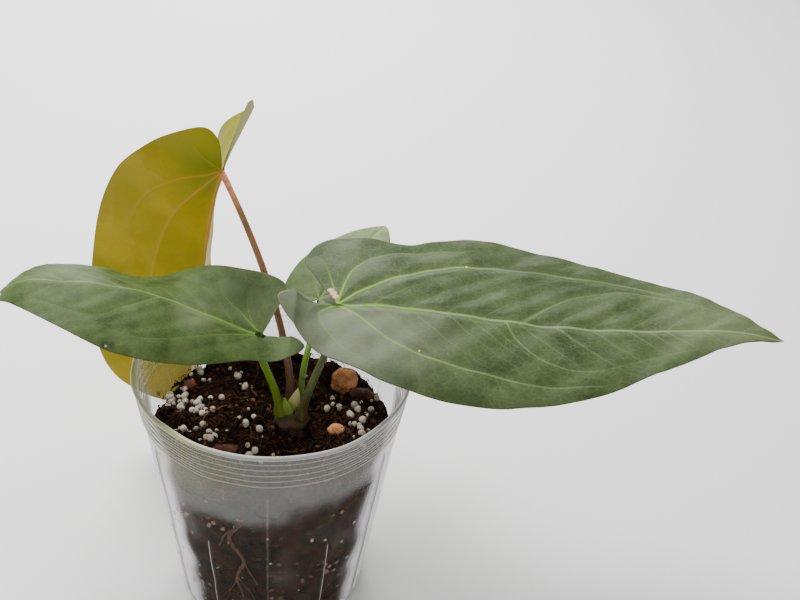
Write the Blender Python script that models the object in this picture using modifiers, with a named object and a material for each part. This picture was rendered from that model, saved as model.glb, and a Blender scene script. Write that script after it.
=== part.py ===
"""A young velvet-leaved anthurium in a soft, translucent nursery pot.

The origin is the centre of the pot's underside. +Z is up, +X runs along the longest leaf
and -Y is the front. Plant sizes hang on the crown, which sits at the level of the growing
medium, so the plant rises and falls with it.
"""
import math

import bmesh
import bpy
import numpy as np
from mathutils import Matrix

MM = 0.001
GAP = 0.3 * MM                      # left between pieces that touch

# Pot
POT_HEIGHT = 110 * MM
POT_RIM_RADIUS = 55 * MM            # outside of the rolled lip
POT_TAPER = 0.14                    # radius lost per unit of depth
POT_WALL = 0.9 * MM
POT_FLOOR = 1.4 * MM
POT_STEPS = 60
LIP_STAND = 1.0 * MM
LIP_HEIGHT = 2.0 * MM
RING_COUNT = 5
RING_PITCH = 3.1 * MM
RING_STAND = 0.6 * MM
RIB_COUNT = 12
RIB_STAND = 0.5 * MM
RIB_TURN = 4                        # of the first rib from +X, degrees
DRAIN_COUNT = 8
DRAIN_RADIUS = 3.5 * MM
DRAIN_CIRCLE = 0.72                 # of the floor's radius

# Growing medium and crown
HEADSPACE = 30 * MM                 # from the rim down to the medium
LUMP_HEIGHT = 1.1 * MM
CROWN_X = 7.5 * MM
CROWN_Y = 0 * MM
CROWN_RADIUS = 6.6 * MM
CROWN_TOP = 7 * MM                  # above the medium
CROWN_DEPTH = 15 * MM               # below the medium
STALK_CIRCLE = 4.4 * MM             # the stalks stand on this circle on the crown

# Leaves
LEAF_THICKNESS = 0.6 * MM
STALK_RADIUS = 1.7 * MM
STALK_POINTS = 14
LEAF_ROWS = 20
LEAF_COLUMNS = 3                    # on each side of the midrib
BACK_LEAF_TIP_HEIGHT = 23 * MM      # of the hanging leaf's tip above the table
BACK_LEAF_INSET = 10 * MM           # of its joint from the pot's rim, seen from above
BACK_STALK_PASS = 0.63 * MM         # its stalk's middle passes this far behind the left leaf

# Roots
ROOT_RADIUS = 1.1 * MM
ROOT_CIRCLE = 3 * MM
ROOT_POINTS = 10
ROOT_TIP_SHARE = 0.6                # of a root's radius, left at its tip
ROOT_REACH_SHARE = 0.6              # of a root's spread, as its last stretch of curve
ROOT_FALL = 20                      # how steeply a root ends, against its spread
WALL_ROOT_HANDLE = 6 * MM

# A leaf's outline is given in shares of its length, from the joint round the lobe to the
# tip, as (along the midrib, away from it). "left" is the left side when looking along the
# midrib. Angles are in degrees at equal steps from joint to tip: heading turns from +X to
# +Y, climb rises, roll tips the left side up, fold tips each side up from the midrib, and
# curl is what each side has turned further at 0.3 of the length from the midrib. A stalk
# leaves the crown for rise mm upwards and lean mm outwards, and meets the blade from reach
# mm below it and sway mm to the right, with a share of the stalk radius.
YOUNG_SIDE = ((-0.08, 0.04), (-0.15, 0.12), (-0.12, 0.22), (0.02, 0.28), (0.25, 0.3),
              (0.5, 0.26), (0.75, 0.17), (0.92, 0.07))
HANGING_SIDE = ((-0.07, 0.015), (-0.13, 0.035), (-0.165, 0.075), (-0.14, 0.125), (-0.06, 0.195),
                (0.06, 0.255), (0.25, 0.295), (0.5, 0.305), (0.72, 0.285), (0.88, 0.225),
                (0.97, 0.11))
LEAVES = {
    "right": dict(
        joint=(16.2, 4, 58.7), length=170, heading=(-3, -4, -3), climb=(9, -2, -1, 4, 8, -14),
        roll=(4, 4), fold=((4, 4), (-8, -8)), curl=(-4, -14), lobe_lift=(6, 38),
        left=((-0.06, 0.09), (-0.09, 0.14), (-0.07, 0.21), (-0.01, 0.245), (0.13, 0.22),
              (0.3, 0.27), (0.5, 0.24), (0.7, 0.17), (0.88, 0.075)),
        right=((-0.05, 0.01), (-0.11, 0.025), (-0.145, 0.07), (-0.1, 0.115), (0.02, 0.165),
               (0.17, 0.22), (0.33, 0.24), (0.5, 0.215), (0.7, 0.13), (0.85, 0.055)),
        stalk=(20, 3, 14, 0, 1.0), base_turn=-30,
        stalk_colour=(0.14, 0.20, 0.04), colour=(0.10, 0.19, 0.06)),
    "left": dict(
        joint=(-11.1, -8, 50.2), length=110, heading=(181, 180, 178),
        climb=(18, 24, 20, 8, 0, -14, -75), roll=(-2, -2),
        fold=((-14, -12, -10, -8, -10), (24, 22, 8, -16, -26, -22, -18, -15, -10)),
        curl=(-20, 0), lobe_lift=(24, 14),
        left=((-0.06, 0.0), (-0.12, 0.01), (-0.155, 0.055), (-0.1, 0.095), (0.02, 0.115),
              (0.2, 0.21), (0.4, 0.26), (0.58, 0.235), (0.78, 0.15), (0.93, 0.06)),
        right=((-0.02, 0.08), (-0.04, 0.16), (-0.035, 0.215), (0.02, 0.235), (0.14, 0.225),
               (0.28, 0.21), (0.4, 0.185), (0.5, 0.185), (0.63, 0.21), (0.76, 0.19),
               (0.87, 0.11), (0.95, 0.045)),
        stalk=(20, 3, 10, 0, 1.0), base_turn=190,
        stalk_colour=(0.18, 0.30, 0.04), colour=(0.11, 0.20, 0.07)),
    "small": dict(
        joint=(7.5, 30, 42), length=58, heading=(66, 64), climb=(12, 4, -4),
        roll=(0, 0), fold=((8, 4), (8, 4)), curl=(-6, -6), lobe_lift=(6, 6),
        left=YOUNG_SIDE, right=YOUNG_SIDE,
        stalk=(30, 0, 12, 0, 0.8), base_turn=50,
        stalk_colour=(0.22, 0.38, 0.04), colour=(0.19, 0.32, 0.10)),
    "back": dict(
        joint=(-33.3, 0, 0), length=153, heading=(124, 124, 130, 134),
        climb=(-62, -73, -76, -78, -80), roll=(22, 24),
        fold=((4, 6), (66, 82, 84, 82, 78, 74, 70, 66, 62)), curl=(8, 0), lobe_lift=(0, 4),
        left=HANGING_SIDE, right=HANGING_SIDE,
        stalk=(40, 2, 20, 8, 0.9), base_turn=100,
        stalk_colour=(0.36, 0.16, 0.08), colour=(0.42, 0.36, 0.05)),
}

# Sheaths on the crown, shaped as small leaves; foot is from the crown's axis, in mm, and
# aside is how many stalk radii further forward it stands, clear of the stalks
SHEATHS = {
    "cataphyll_green": dict(foot=(-0.9, 0.8), aside=2, length=9, heading=(180, 180), climb=(72, 84),
                            roll=(-90, -90), colour=(0.20, 0.30, 0.05)),
    "cataphyll_pale": dict(foot=(-0.2, 0.0), aside=0, length=12, heading=(0, 0), climb=(74, 82),
                           roll=(90, 90), colour=(0.50, 0.48, 0.14)),
}
SHEATH_GAP = 1.2 * MM
SHEATH_OUTLINE = ((0.02, 0.2), (0.15, 0.24), (0.4, 0.2), (0.7, 0.12), (0.9, 0.05))

# Roots: where they start round the crown (degrees), the far end (x, y, and z above the
# floor, in mm), and how far they first run straight down (mm)
ROOTS = {
    "root_front": (-10, 14, -24, 14, 14),
    "root_left": (165, -26, 10, 20, 10),
    "root_right": (75, 26, 18, 24, 8),
}
WALL_ROOT_TURN = -104               # where the wall root runs down the pot, degrees
WALL_ROOT_TOP = 24 * MM             # below the medium's level
WALL_ROOT_END = 12 * MM             # above the pot's floor

# Bits on the medium: x, y, length, width, height in mm, turn in degrees
STONES = {
    "stone_clay_large": (27, 27, 12, 11, 12, 20, (0.30, 0.13, 0.07)),
    "bark_chunk": (35.5, 21, 11, 6, 6, 30, (0.22, 0.08, 0.03)),
    "stone_clay_small": (26, -3, 8, 6, 5, 15, (0.28, 0.13, 0.08)),
    "stone_red": (-37, 20, 6, 6, 5, 0, (0.40, 0.14, 0.05)),
    "bark_flake": (-17, -19, 11, 6, 3, -20, (0.12, 0.06, 0.03)),
}
GRAINS = ((-44, 12), (-43, 5), (-38, 13), (-34, 29), (-38, 4), (-32, 9), (-29, 2), (-35, -8),
          (-18, 27), (-14, 20), (-11, -2), (-5, -5), (-25, -13), (-7, -21), (26, 12), (31, 8),
          (32, 14), (39, 12), (36, 5), (36, -3))
GRAIN_SIZE = 3.6 * MM
GRAIN_COLOUR = (0.72, 0.70, 0.66)
BITS_SET_FOR_RADIUS = 48.6 * MM     # their places spread with the room inside the pot
SUNK = 0.3                          # of a bit's height that lies below the surface
LUMPINESS = 0.08                    # how far a bit's skin sinks, as a share of its radius
POCKET_SPREAD = 1.3                 # a pocket's extra room in gaps, as flat faces cut corners
GRAIN_SPREAD = 0.12                 # how much the grains' sizes differ


def clear_scene():
    for old in list(bpy.data.objects):
        bpy.data.objects.remove(old, do_unlink=True)


clear_scene()
plant = bpy.data.collections.new("potted_anthurium")
bpy.context.scene.collection.children.link(plant)
cutters = bpy.data.collections.new("cutters")
bpy.context.scene.collection.children.link(cutters)
medium_cutters = bpy.data.collections.new("medium_cutters")
cutters.children.link(medium_cutters)

soil_level = POT_HEIGHT - HEADSPACE
crown_at = np.array((CROWN_X, CROWN_Y, soil_level))


def material(name, colour, roughness):
    """A Principled material of one colour."""
    made = bpy.data.materials.new(name)
    made.use_nodes = True
    shader = made.node_tree.nodes["Principled BSDF"]
    shader.inputs["Base Color"].default_value = (*colour, 1)
    shader.inputs["Roughness"].default_value = roughness
    return made


def add(name, mesh, where, colour=None, roughness=0.6):
    """Links a mesh as a named object, as a part or (with no colour) as a cutter."""
    piece = bpy.data.objects.new(name, mesh)
    where.objects.link(piece)
    if colour is None:
        piece.hide_render = True
        piece.display_type = "WIRE"
    else:
        mesh.materials.append(material(name, colour, roughness))
        mesh.shade_smooth()
    return piece


def finished(piece):
    """Turns a curve or a modified object into a plain mesh object with welded caps."""
    bpy.context.view_layer.update()
    evaluated = piece.evaluated_get(bpy.context.evaluated_depsgraph_get())
    mesh = bpy.data.meshes.new_from_object(evaluated)
    shape = bmesh.new()
    shape.from_mesh(mesh)
    bmesh.ops.remove_doubles(shape, verts=shape.verts, dist=0.00001)
    shape.to_mesh(mesh)
    shape.free()
    bpy.data.objects.remove(piece, do_unlink=True)
    return mesh


def turned(name, profile, steps):
    """The mesh of a profile of (radius, height), given along its top and down its outside."""
    mesh = bpy.data.meshes.new(name)
    points = [(radius, 0, height) for radius, height in profile]
    mesh.from_pydata(points, [(i, i + 1) for i in range(len(points) - 1)], [])
    piece = bpy.data.objects.new(name, mesh)
    plant.objects.link(piece)
    screw = piece.modifiers.new("turn", "SCREW")
    screw.steps = screw.render_steps = steps
    screw.use_merge_vertices = True
    screw.merge_threshold = 0.00001
    return finished(piece)


def tube(name, points, radii):
    """The mesh of a round tube along points, with a radius at each."""
    data = bpy.data.curves.new(name, "CURVE")
    data.dimensions = "3D"
    data.bevel_depth = 1
    data.bevel_resolution = 2
    data.use_fill_caps = True
    line = data.splines.new("POLY")
    line.points.add(len(points) - 1)
    for spot, place, radius in zip(line.points, points, radii):
        spot.co = (*place, 1)
        spot.radius = radius
    piece = bpy.data.objects.new(name, data)
    plant.objects.link(piece)
    return finished(piece)


def bend(start, start_way, end, end_way, count):
    """Points on a cubic curve that leaves start along start_way and reaches end along end_way."""
    t = np.linspace(0, 1, count)[:, None]
    near, far = start + start_way, end - end_way
    return (start * (1 - t) ** 3 + near * 3 * t * (1 - t) ** 2
            + far * 3 * t ** 2 * (1 - t) + end * t ** 3)


def smooth(values, at):
    """A Catmull-Rom curve through values at equal steps, read at shares of its length."""
    values = np.asarray(values, float)
    ends = 2 * values[0] - values[1], 2 * values[-1] - values[-2]
    knots = np.concatenate(([ends[0]], values, [ends[1]]))
    along = np.clip(at, 0, 1) * (len(values) - 1)
    span = np.minimum(along.astype(int), len(values) - 2)
    t = along - span
    if values.ndim > 1:
        t = t[..., None]
    a, b, c, d = (knots[span + i] for i in range(4))
    return 0.5 * (2 * b + (c - a) * t + (2 * a - 5 * b + 4 * c - d) * t ** 2
                  + (3 * b - a - 3 * c + d) * t ** 3)


def outline(points, count):
    """A margin from the joint, through points, to the tip, in shares of the leaf's length."""
    return smooth(((0, 0), *points, (1, 0)), np.linspace(0, 1, count))


def midrib(leaf):
    """Places, directions, left sides and upper sides along a midrib that starts at zero."""
    s = np.linspace(0, 1, 101)
    heading, climb, roll = (np.radians(smooth(leaf[key], s))
                            for key in ("heading", "climb", "roll"))
    ahead = np.stack([np.cos(climb) * np.cos(heading), np.cos(climb) * np.sin(heading),
                      np.sin(climb)], -1)
    level = np.stack([-np.sin(heading), np.cos(heading), 0 * s], -1)
    above = np.cross(ahead, level)
    left = level * np.cos(roll)[:, None] + above * np.sin(roll)[:, None]
    steps = (ahead[1:] + ahead[:-1]) / 2 * (leaf["length"] * MM / (len(s) - 1))
    places = np.concatenate(([np.zeros(3)], np.cumsum(steps, 0)))
    return s, places, ahead, left, np.cross(ahead, left)


def on_leaf(leaf, along, across, side):
    """Puts a point of the flat leaf on the bent one; side is 1 for the left and -1."""
    s, *frame = midrib(leaf)
    near = np.clip(along, 0, 1)
    place, ahead, left, up = (
        np.stack([np.interp(near, s, column) for column in part.T], -1) for part in frame)
    length = leaf["length"] * MM
    which = 0 if side > 0 else 1
    behind = np.maximum(-along, 0)
    lift = np.radians(leaf["lobe_lift"][which]) * np.clip(behind / 0.1, 0, 1)
    place = place + length * behind[..., None] * (
        up * np.sin(lift)[..., None] - ahead * np.cos(lift)[..., None])
    fold = np.radians(smooth(leaf["fold"][which], near))
    curl = np.radians(leaf["curl"][which] or 0.1) / 0.3
    out = (np.sin(fold + curl * across) - np.sin(fold)) / curl
    rise = (np.cos(fold) - np.cos(fold + curl * across)) / curl
    return place + length * (side * left * out[..., None] + up * rise[..., None])


def leaf_mesh(name, leaf, joint):
    """A thin closed blade: rows from the midrib to the margin, on both sides."""
    rows = np.linspace(0, 1, LEAF_ROWS)[:, None]
    spine = rows ** 1.5
    columns = np.linspace(0, 1, LEAF_COLUMNS + 1)[None, :]
    halves = []
    for side, key in ((1, "left"), (-1, "right")):
        edge = outline(leaf[key], LEAF_ROWS)
        along = spine * (1 - columns) + edge[:, :1] * columns
        halves.append(on_leaf(leaf, along, edge[:, 1:] * columns, side))
    grid = np.concatenate((halves[0][:, :0:-1], halves[1]), axis=1) + joint
    width = grid.shape[1]
    faces = [(r * width + c, (r + 1) * width + c, (r + 1) * width + c + 1, r * width + c + 1)
             for r in range(LEAF_ROWS - 1) for c in range(width - 1)]
    sheet = bpy.data.meshes.new(name)
    sheet.from_pydata([tuple(point) for point in grid.reshape(-1, 3)], [], faces)
    shape = bmesh.new()
    shape.from_mesh(sheet)
    bmesh.ops.remove_doubles(shape, verts=shape.verts, dist=0.00005)
    bmesh.ops.dissolve_degenerate(shape, edges=shape.edges, dist=0.00001)
    bmesh.ops.recalc_face_normals(shape, faces=shape.faces)
    shape.to_mesh(sheet)
    shape.free()
    piece = bpy.data.objects.new(name, sheet)
    plant.objects.link(piece)
    thick = piece.modifiers.new("thickness", "SOLIDIFY")
    thick.thickness = LEAF_THICKNESS
    thick.offset = 0
    return finished(piece)


def wall_radius(height):
    """The wall's outer radius at a height, away from the lip and the rings."""
    return POT_RIM_RADIUS - LIP_STAND - POT_TAPER * (POT_HEIGHT - height)


def inner_radius(height):
    """What fits inside the pot at a height, with its gap."""
    return wall_radius(height) - POT_WALL - GAP


def ground(x, y):
    """The height of the medium's lumpy surface."""
    lumps = (math.sin(x * 160 + 1.0) * math.cos(y * 145) + 0.6 * math.sin(x * 310 + y * 270)
             + 0.4 * math.sin(y * 420 - x * 190 + 2.0))
    return soil_level + LUMP_HEIGHT * lumps / 2


def make_pot():
    """A tapered shell with a rolled lip, ring steps, upright ribs and drain holes."""
    stations = [(0, LIP_STAND), (LIP_HEIGHT, LIP_STAND), (LIP_HEIGHT + LIP_STAND / 2, 0)]
    for ring in range(RING_COUNT):
        depth = LIP_HEIGHT + RING_PITCH * (ring + 0.5)
        stations += [(depth, 0), (depth + RING_PITCH * 0.3, RING_STAND),
                     (depth + RING_PITCH * 0.6, 0)]
    rib_top = LIP_HEIGHT + RING_PITCH * (RING_COUNT + 1)
    stations += [(rib_top, 0), (rib_top + RING_PITCH, 0)]
    outer = [(wall_radius(POT_HEIGHT - depth) + stand, POT_HEIGHT - depth)
             for depth, stand in stations]
    inner = [(radius - POT_WALL, height) for radius, height in outer]
    corner = 2 * POT_WALL
    outer += [(wall_radius(corner), corner), (wall_radius(0) - corner / 2, 0), (0, 0)]
    inner.append((wall_radius(POT_FLOOR) - POT_WALL, POT_FLOOR))
    profile = [(0, POT_FLOOR)] + inner[::-1] + outer
    mesh = turned("pot_shell", profile, POT_STEPS)
    rib_every = 2 * math.pi / RIB_COUNT
    for vertex in mesh.vertices:
        x, y, z = vertex.co
        radius = math.hypot(x, y)
        turn = math.atan2(y, x) / rib_every
        on_rib = abs(turn - round(turn)) < 0.5 * RIB_COUNT / POT_STEPS
        outside = radius > wall_radius(z) - POT_WALL / 2
        if on_rib and outside and POT_WALL < z < POT_HEIGHT - rib_top - RING_PITCH / 2:
            vertex.co.xy *= (radius + RIB_STAND) / radius
    mesh.transform(Matrix.Rotation(math.radians(RIB_TURN), 4, "Z"))
    pot = add("pot_shell", mesh, plant, (0.72, 0.73, 0.72), 0.35)
    holes = bmesh.new()
    for index in range(DRAIN_COUNT):
        turn = 2 * math.pi * (index + 0.5) / DRAIN_COUNT
        hole = bmesh.ops.create_cone(holes, cap_ends=True, segments=14, radius1=DRAIN_RADIUS,
                                     radius2=DRAIN_RADIUS, depth=4 * POT_FLOOR)
        reach = wall_radius(0) * DRAIN_CIRCLE
        bmesh.ops.translate(holes, verts=hole["verts"],
                            vec=(reach * math.cos(turn), reach * math.sin(turn), 0))
    cut = bpy.data.meshes.new("drain_holes")
    holes.to_mesh(cut)
    holes.free()
    drain = pot.modifiers.new("drain", "BOOLEAN")
    drain.operation = "DIFFERENCE"
    drain.object = add("drain_holes", cut, cutters)


def make_medium():
    """A plug of medium with a lumpy top and a pocket or channel for all that lies in it."""
    bottom = POT_FLOOR + GAP
    rings = np.linspace(0, 1, 8)
    profile = [(inner_radius(soil_level) * share, soil_level) for share in rings]
    profile += [(inner_radius(bottom), bottom), (0, bottom)]
    mesh = turned("growing_medium", profile, POT_STEPS)
    for vertex in mesh.vertices:
        x, y, z = vertex.co
        if z > bottom + GAP:
            vertex.co.z = ground(x, y)
            radius = math.hypot(x, y)
            most = inner_radius(vertex.co.z)
            if radius > inner_radius(soil_level) - GAP:
                vertex.co.xy *= most / radius
    medium = add("growing_medium", mesh, plant, (0.07, 0.035, 0.02), 0.95)
    pockets = medium.modifiers.new("pockets", "BOOLEAN")
    pockets.operation = "DIFFERENCE"
    pockets.operand_type = "COLLECTION"
    pockets.collection = medium_cutters


def crown_profile(room):
    """The crown's half outline, larger all round by room."""
    wide, top, deep = CROWN_RADIUS + room, CROWN_TOP + room, CROWN_DEPTH + room
    return [(0, top), (wide * 0.96, top), (wide, top * 0.6), (wide, 0), (wide * 0.9, -deep * 0.6),
            (wide * 0.75, -deep), (0, -deep)]


def make_crown():
    for name, room, where, colour in (("root_crown", 0, plant, (0.20, 0.15, 0.05)),
                                      ("crown_pocket", GAP, medium_cutters, None)):
        mesh = turned(name, crown_profile(room), 16)
        mesh.transform(Matrix.Translation(crown_at))
        add(name, mesh, where, colour)


def round_crown(turn, radius, height):
    """A place at an angle and a radius round the crown's axis, at a height over the medium."""
    angle = math.radians(turn)
    return crown_at + (radius * math.cos(angle), radius * math.sin(angle), height)


def leaf_joint(name, leaf):
    """Where a blade's midrib starts. The hanging one keeps off the pot and the table."""
    joint = crown_at + np.array(leaf["joint"]) * MM
    if name == "back":
        drop = midrib(leaf)[1][-1][2]
        joint[1:] = POT_RIM_RADIUS - BACK_LEAF_INSET, BACK_LEAF_TIP_HEIGHT - drop
    return joint


def lean_past_left_leaf(foot, top, arrive):
    """How far the hanging leaf's stalk first leans back, to pass behind the left leaf."""
    left = LEAVES["left"]
    widest = max(across for _, across in left["right"]) * left["length"] * MM
    behind = leaf_joint("left", left)[1] + widest + BACK_STALK_PASS
    return (8 * behind - 4 * foot[1] - 4 * top[1] + 3 * arrive[1]) / 3


def make_leaves():
    """Each blade, and the stalk that rises from the crown and meets it from below.

    The hanging leaf's stalk leans, so its foot is lifted to keep its low edge off the crown.
    """
    for name, leaf in LEAVES.items():
        joint = leaf_joint(name, leaf)
        blade = leaf_mesh("leaf_blade_" + name, leaf, joint)
        add("leaf_blade_" + name, blade, plant, leaf["colour"], 0.55)
        rise, lean, reach, sway, share = leaf["stalk"]
        up = midrib(leaf)[4][0]
        foot = round_crown(leaf["base_turn"], STALK_CIRCLE, CROWN_TOP + GAP)
        top = joint - up * (GAP + LEAF_THICKNESS / 2)
        out = (foot - crown_at) * (1, 1, 0) / STALK_CIRCLE
        leave = np.array((0, 0, rise)) * MM + out * lean * MM
        arrive = (up * reach - (sway, 0, 0)) * MM
        if name == "back":
            leave[1] = lean_past_left_leaf(foot, top, arrive)
            foot[2] += STALK_RADIUS * share * leave[1] / leave[2]
        route = bend(foot, leave, top, arrive, STALK_POINTS)
        swell = 1 - 0.25 * np.linspace(0, 1, STALK_POINTS)
        mesh = tube("petiole_" + name, route, STALK_RADIUS * share * swell)
        add("petiole_" + name, mesh, plant, leaf["stalk_colour"], 0.45)


def make_sheaths():
    for name, sheath in SHEATHS.items():
        foot = crown_at + np.array((*sheath["foot"], 0)) * MM
        foot += (0, -sheath["aside"] * STALK_RADIUS, CROWN_TOP + SHEATH_GAP)
        shape = dict(sheath, fold=((0, 0), (0, 0)), curl=(-30, -30), lobe_lift=(0, 0),
                     left=SHEATH_OUTLINE, right=SHEATH_OUTLINE)
        add(name, leaf_mesh(name, shape, foot), plant, sheath["colour"], 0.5)


def root_and_channel(name, points, radii):
    """A root in the medium, and the channel it lies in."""
    add(name, tube(name, points, radii), plant, (0.45, 0.27, 0.13), 0.7)
    ahead = points[-1] - points[-2]
    longer = np.concatenate((points, [points[-1] + ahead / np.linalg.norm(ahead) * GAP]))
    channel = tube(name + "_channel", longer, np.append(radii, radii[-1]) + GAP)
    add(name + "_channel", channel, medium_cutters)


def make_roots():
    """Roots that start under the crown and run down through the medium."""
    down = np.array((0, 0, -1.0)) * MM
    share = np.linspace(1, ROOT_TIP_SHARE, ROOT_POINTS)
    for name, (turn, x, y, z, straight) in ROOTS.items():
        start = round_crown(turn, ROOT_CIRCLE, -CROWN_DEPTH - GAP)
        end = np.array((x * MM, y * MM, POT_FLOOR + z * MM))
        way = np.array((x, y, -ROOT_FALL)) * MM * ROOT_REACH_SHARE
        points = bend(start, down * straight, end, way, ROOT_POINTS)
        root_and_channel(name, points, ROOT_RADIUS * share)
    start = round_crown(WALL_ROOT_TURN, ROOT_CIRCLE, -CROWN_DEPTH - GAP - ROOT_RADIUS)
    turn = math.radians(WALL_ROOT_TURN)
    way = np.array((math.cos(turn), math.sin(turn)))

    def by_wall(height):
        return np.array((*(way * (inner_radius(height) - ROOT_RADIUS)), height))

    top = by_wall(soil_level - WALL_ROOT_TOP)
    end = by_wall(POT_FLOOR + WALL_ROOT_END)
    run = end - top
    first = bend(start, down / MM * WALL_ROOT_HANDLE, top,
                 run / np.linalg.norm(run) * WALL_ROOT_HANDLE, ROOT_POINTS)
    points = np.concatenate((first, [top + run * part for part in (0.33, 0.67, 1)]))
    root_and_channel("root_wall", points, np.full(len(points), ROOT_RADIUS))


def nugget(name, centre, size, turn, detail, room):
    """A lumpy stone: a sphere pushed in and out by slow waves, stretched, then turned."""
    shape = bmesh.new()
    bmesh.ops.create_icosphere(shape, subdivisions=detail, radius=1)
    phase = centre[0] / MM * 1.7 + centre[1] / MM * 0.9
    for vertex in shape.verts:
        x, y, z = vertex.co
        lump = 1 - LUMPINESS * (1 + math.sin(3 * x + 2 * y + phase) * math.cos(3 * z - phase))
        vertex.co = [axis * lump * (whole / 2 + POCKET_SPREAD * room)
                     for axis, whole in zip((x, y, z), size)]
    spin = Matrix.Rotation(math.radians(turn), 4, "Z")
    bmesh.ops.transform(shape, matrix=Matrix.Translation(centre) @ spin, verts=shape.verts)
    mesh = bpy.data.meshes.new(name)
    shape.to_mesh(mesh)
    shape.free()
    return mesh


def make_bits():
    """Stones, bark and pale grains, each part sunk in a pocket of the medium."""
    bits = [(name, x, y, (length, width, height), turn, 2, colour)
            for name, (x, y, length, width, height, turn, colour) in STONES.items()]
    for index, (x, y) in enumerate(GRAINS):
        size = [GRAIN_SIZE / MM * (1 + GRAIN_SPREAD * math.sin(index * 2.4 + axis * 2))
                for axis in range(3)]
        bits.append((f"perlite_{index + 1:02d}", x, y, size, index * 40, 1, GRAIN_COLOUR))
    scale = inner_radius(soil_level) / BITS_SET_FOR_RADIUS
    for name, x, y, size, turn, detail, colour in bits:
        size = [whole * MM for whole in size]
        place = [x * MM * scale, y * MM * scale]
        centre = (*place, ground(*place) + size[2] * (0.5 - SUNK))
        add(name, nugget(name, centre, size, turn, detail, 0), plant, colour, 0.9)
        pocket = nugget(name + "_pocket", centre, size, turn, detail, GAP)
        add(name + "_pocket", pocket, medium_cutters)


make_pot()
make_crown()
make_leaves()
make_sheaths()
make_roots()
make_bits()
make_medium()
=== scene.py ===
# %% [markdown]
# # A young velvet-leaved anthurium in a soft nursery pot
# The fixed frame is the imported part: +Z is up, +X runs along the longest leaf and -Y is
# the front. Everything here is worked out from the frame's boxes and from a few sizes of
# the plant, as surfaces given by formulas. All lengths are in metres unless a name says
# otherwise.

import math

import bmesh
import bpy
import numpy as np
from mathutils import Matrix, Vector


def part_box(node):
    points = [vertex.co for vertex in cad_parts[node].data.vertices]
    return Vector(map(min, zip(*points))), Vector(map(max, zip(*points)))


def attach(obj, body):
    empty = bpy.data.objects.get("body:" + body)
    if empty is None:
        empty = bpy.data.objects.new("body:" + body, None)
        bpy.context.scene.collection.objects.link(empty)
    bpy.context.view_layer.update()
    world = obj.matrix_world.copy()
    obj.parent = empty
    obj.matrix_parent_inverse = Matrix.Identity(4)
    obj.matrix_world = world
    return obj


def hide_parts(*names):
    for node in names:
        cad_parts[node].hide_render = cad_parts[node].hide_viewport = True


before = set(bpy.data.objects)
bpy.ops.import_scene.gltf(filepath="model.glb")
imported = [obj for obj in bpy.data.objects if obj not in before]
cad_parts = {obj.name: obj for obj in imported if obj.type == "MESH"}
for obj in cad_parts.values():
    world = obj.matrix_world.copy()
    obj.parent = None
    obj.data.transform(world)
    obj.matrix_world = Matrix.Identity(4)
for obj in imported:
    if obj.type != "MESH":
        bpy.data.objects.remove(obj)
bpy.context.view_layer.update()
print("frame nodes:", len(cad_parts))

# %% [markdown]
# ## Sizes taken from the frame
# The pot's rim, the medium's level and the crown's axis come from the boxes of their
# nodes, so the fine pieces sit where the plain ones do.

# %% Places in the frame
MM = 0.001
pot_low, pot_high = (np.array(corner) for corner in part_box("pot_shell"))
crown_low, crown_high = (np.array(corner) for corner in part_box("root_crown"))
RIM = (pot_high[0] - pot_low[0]) / 2
HEIGHT = pot_high[2]
CROWN_TOP = 7 * MM
crown_at = (crown_low + crown_high) / 2
crown_at[2] = crown_high[2] - CROWN_TOP
soil = crown_at[2]
LIP, TAPER, WALL, FLOOR = 1.0 * MM, 0.14, 0.9 * MM, 1.4 * MM
print(f"rim radius {RIM / MM:.1f} mm, medium at {soil / MM:.1f} mm")


# %% [markdown]
# ## Small tools for numbers
# `smooth` runs a Catmull-Rom curve through values. `waves` gives soft random lumps as a
# sum of sine waves that run in random directions, about one wavelength apart. `spin`
# gives random turns.

# %% Curves, lumps and turns
def smooth(values, at):
    """A Catmull-Rom curve through values at equal steps, read at shares of its length."""
    values = np.asarray(values, float)
    ends = 2 * values[0] - values[1], 2 * values[-1] - values[-2]
    knots = np.concatenate(([ends[0]], values, [ends[1]]))
    along = np.clip(at, 0, 1) * (len(values) - 1)
    span = np.minimum(along.astype(int), len(values) - 2)
    t = along - span
    if values.ndim > 1:
        t = t[..., None]
    a, b, c, d = (knots[span + i] for i in range(4))
    return 0.5 * (2 * b + (c - a) * t + (2 * a - 5 * b + 4 * c - d) * t ** 2
                  + (3 * b - a - 3 * c + d) * t ** 3)


def waves(points, size, seed, count=12):
    """The sum of sine waves over points, in random directions, scaled to a spread of 1."""
    rng = np.random.default_rng(seed)
    ways = rng.normal(size=(count, 3))
    ways /= np.linalg.norm(ways, axis=1, keepdims=True)
    ways *= 2 * np.pi / size * rng.uniform(0.7, 1.4, (count, 1))
    phase = points @ ways[:, :points.shape[-1]].T + rng.uniform(0, 2 * np.pi, count)
    return np.sin(phase).sum(-1) / math.sqrt(count / 2)


def unit(vectors):
    """Vectors scaled to length 1."""
    return vectors / np.maximum(np.linalg.norm(vectors, axis=-1, keepdims=True), 1e-12)


def spin(rng, count):
    """Random turns, as an array of 3 x 3 matrices made from random unit quaternions."""
    w, x, y, z = unit(rng.normal(size=(count, 4))).T
    return np.stack([1 - 2 * (y * y + z * z), 2 * (x * y - w * z), 2 * (x * z + w * y),
                     2 * (x * y + w * z), 1 - 2 * (x * x + z * z), 2 * (y * z - w * x),
                     2 * (x * z - w * y), 2 * (y * z + w * x), 1 - 2 * (x * x + y * y)],
                    -1).reshape(-1, 3, 3)


def bend(start, start_way, end, end_way, count):
    """Points on a cubic curve that leaves start along start_way and ends along end_way."""
    t = np.linspace(0, 1, count)[:, None]
    near, far = start + start_way, end - end_way
    return (start * (1 - t) ** 3 + near * 3 * t * (1 - t) ** 2
            + far * 3 * t ** 2 * (1 - t) + end * t ** 3)


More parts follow.
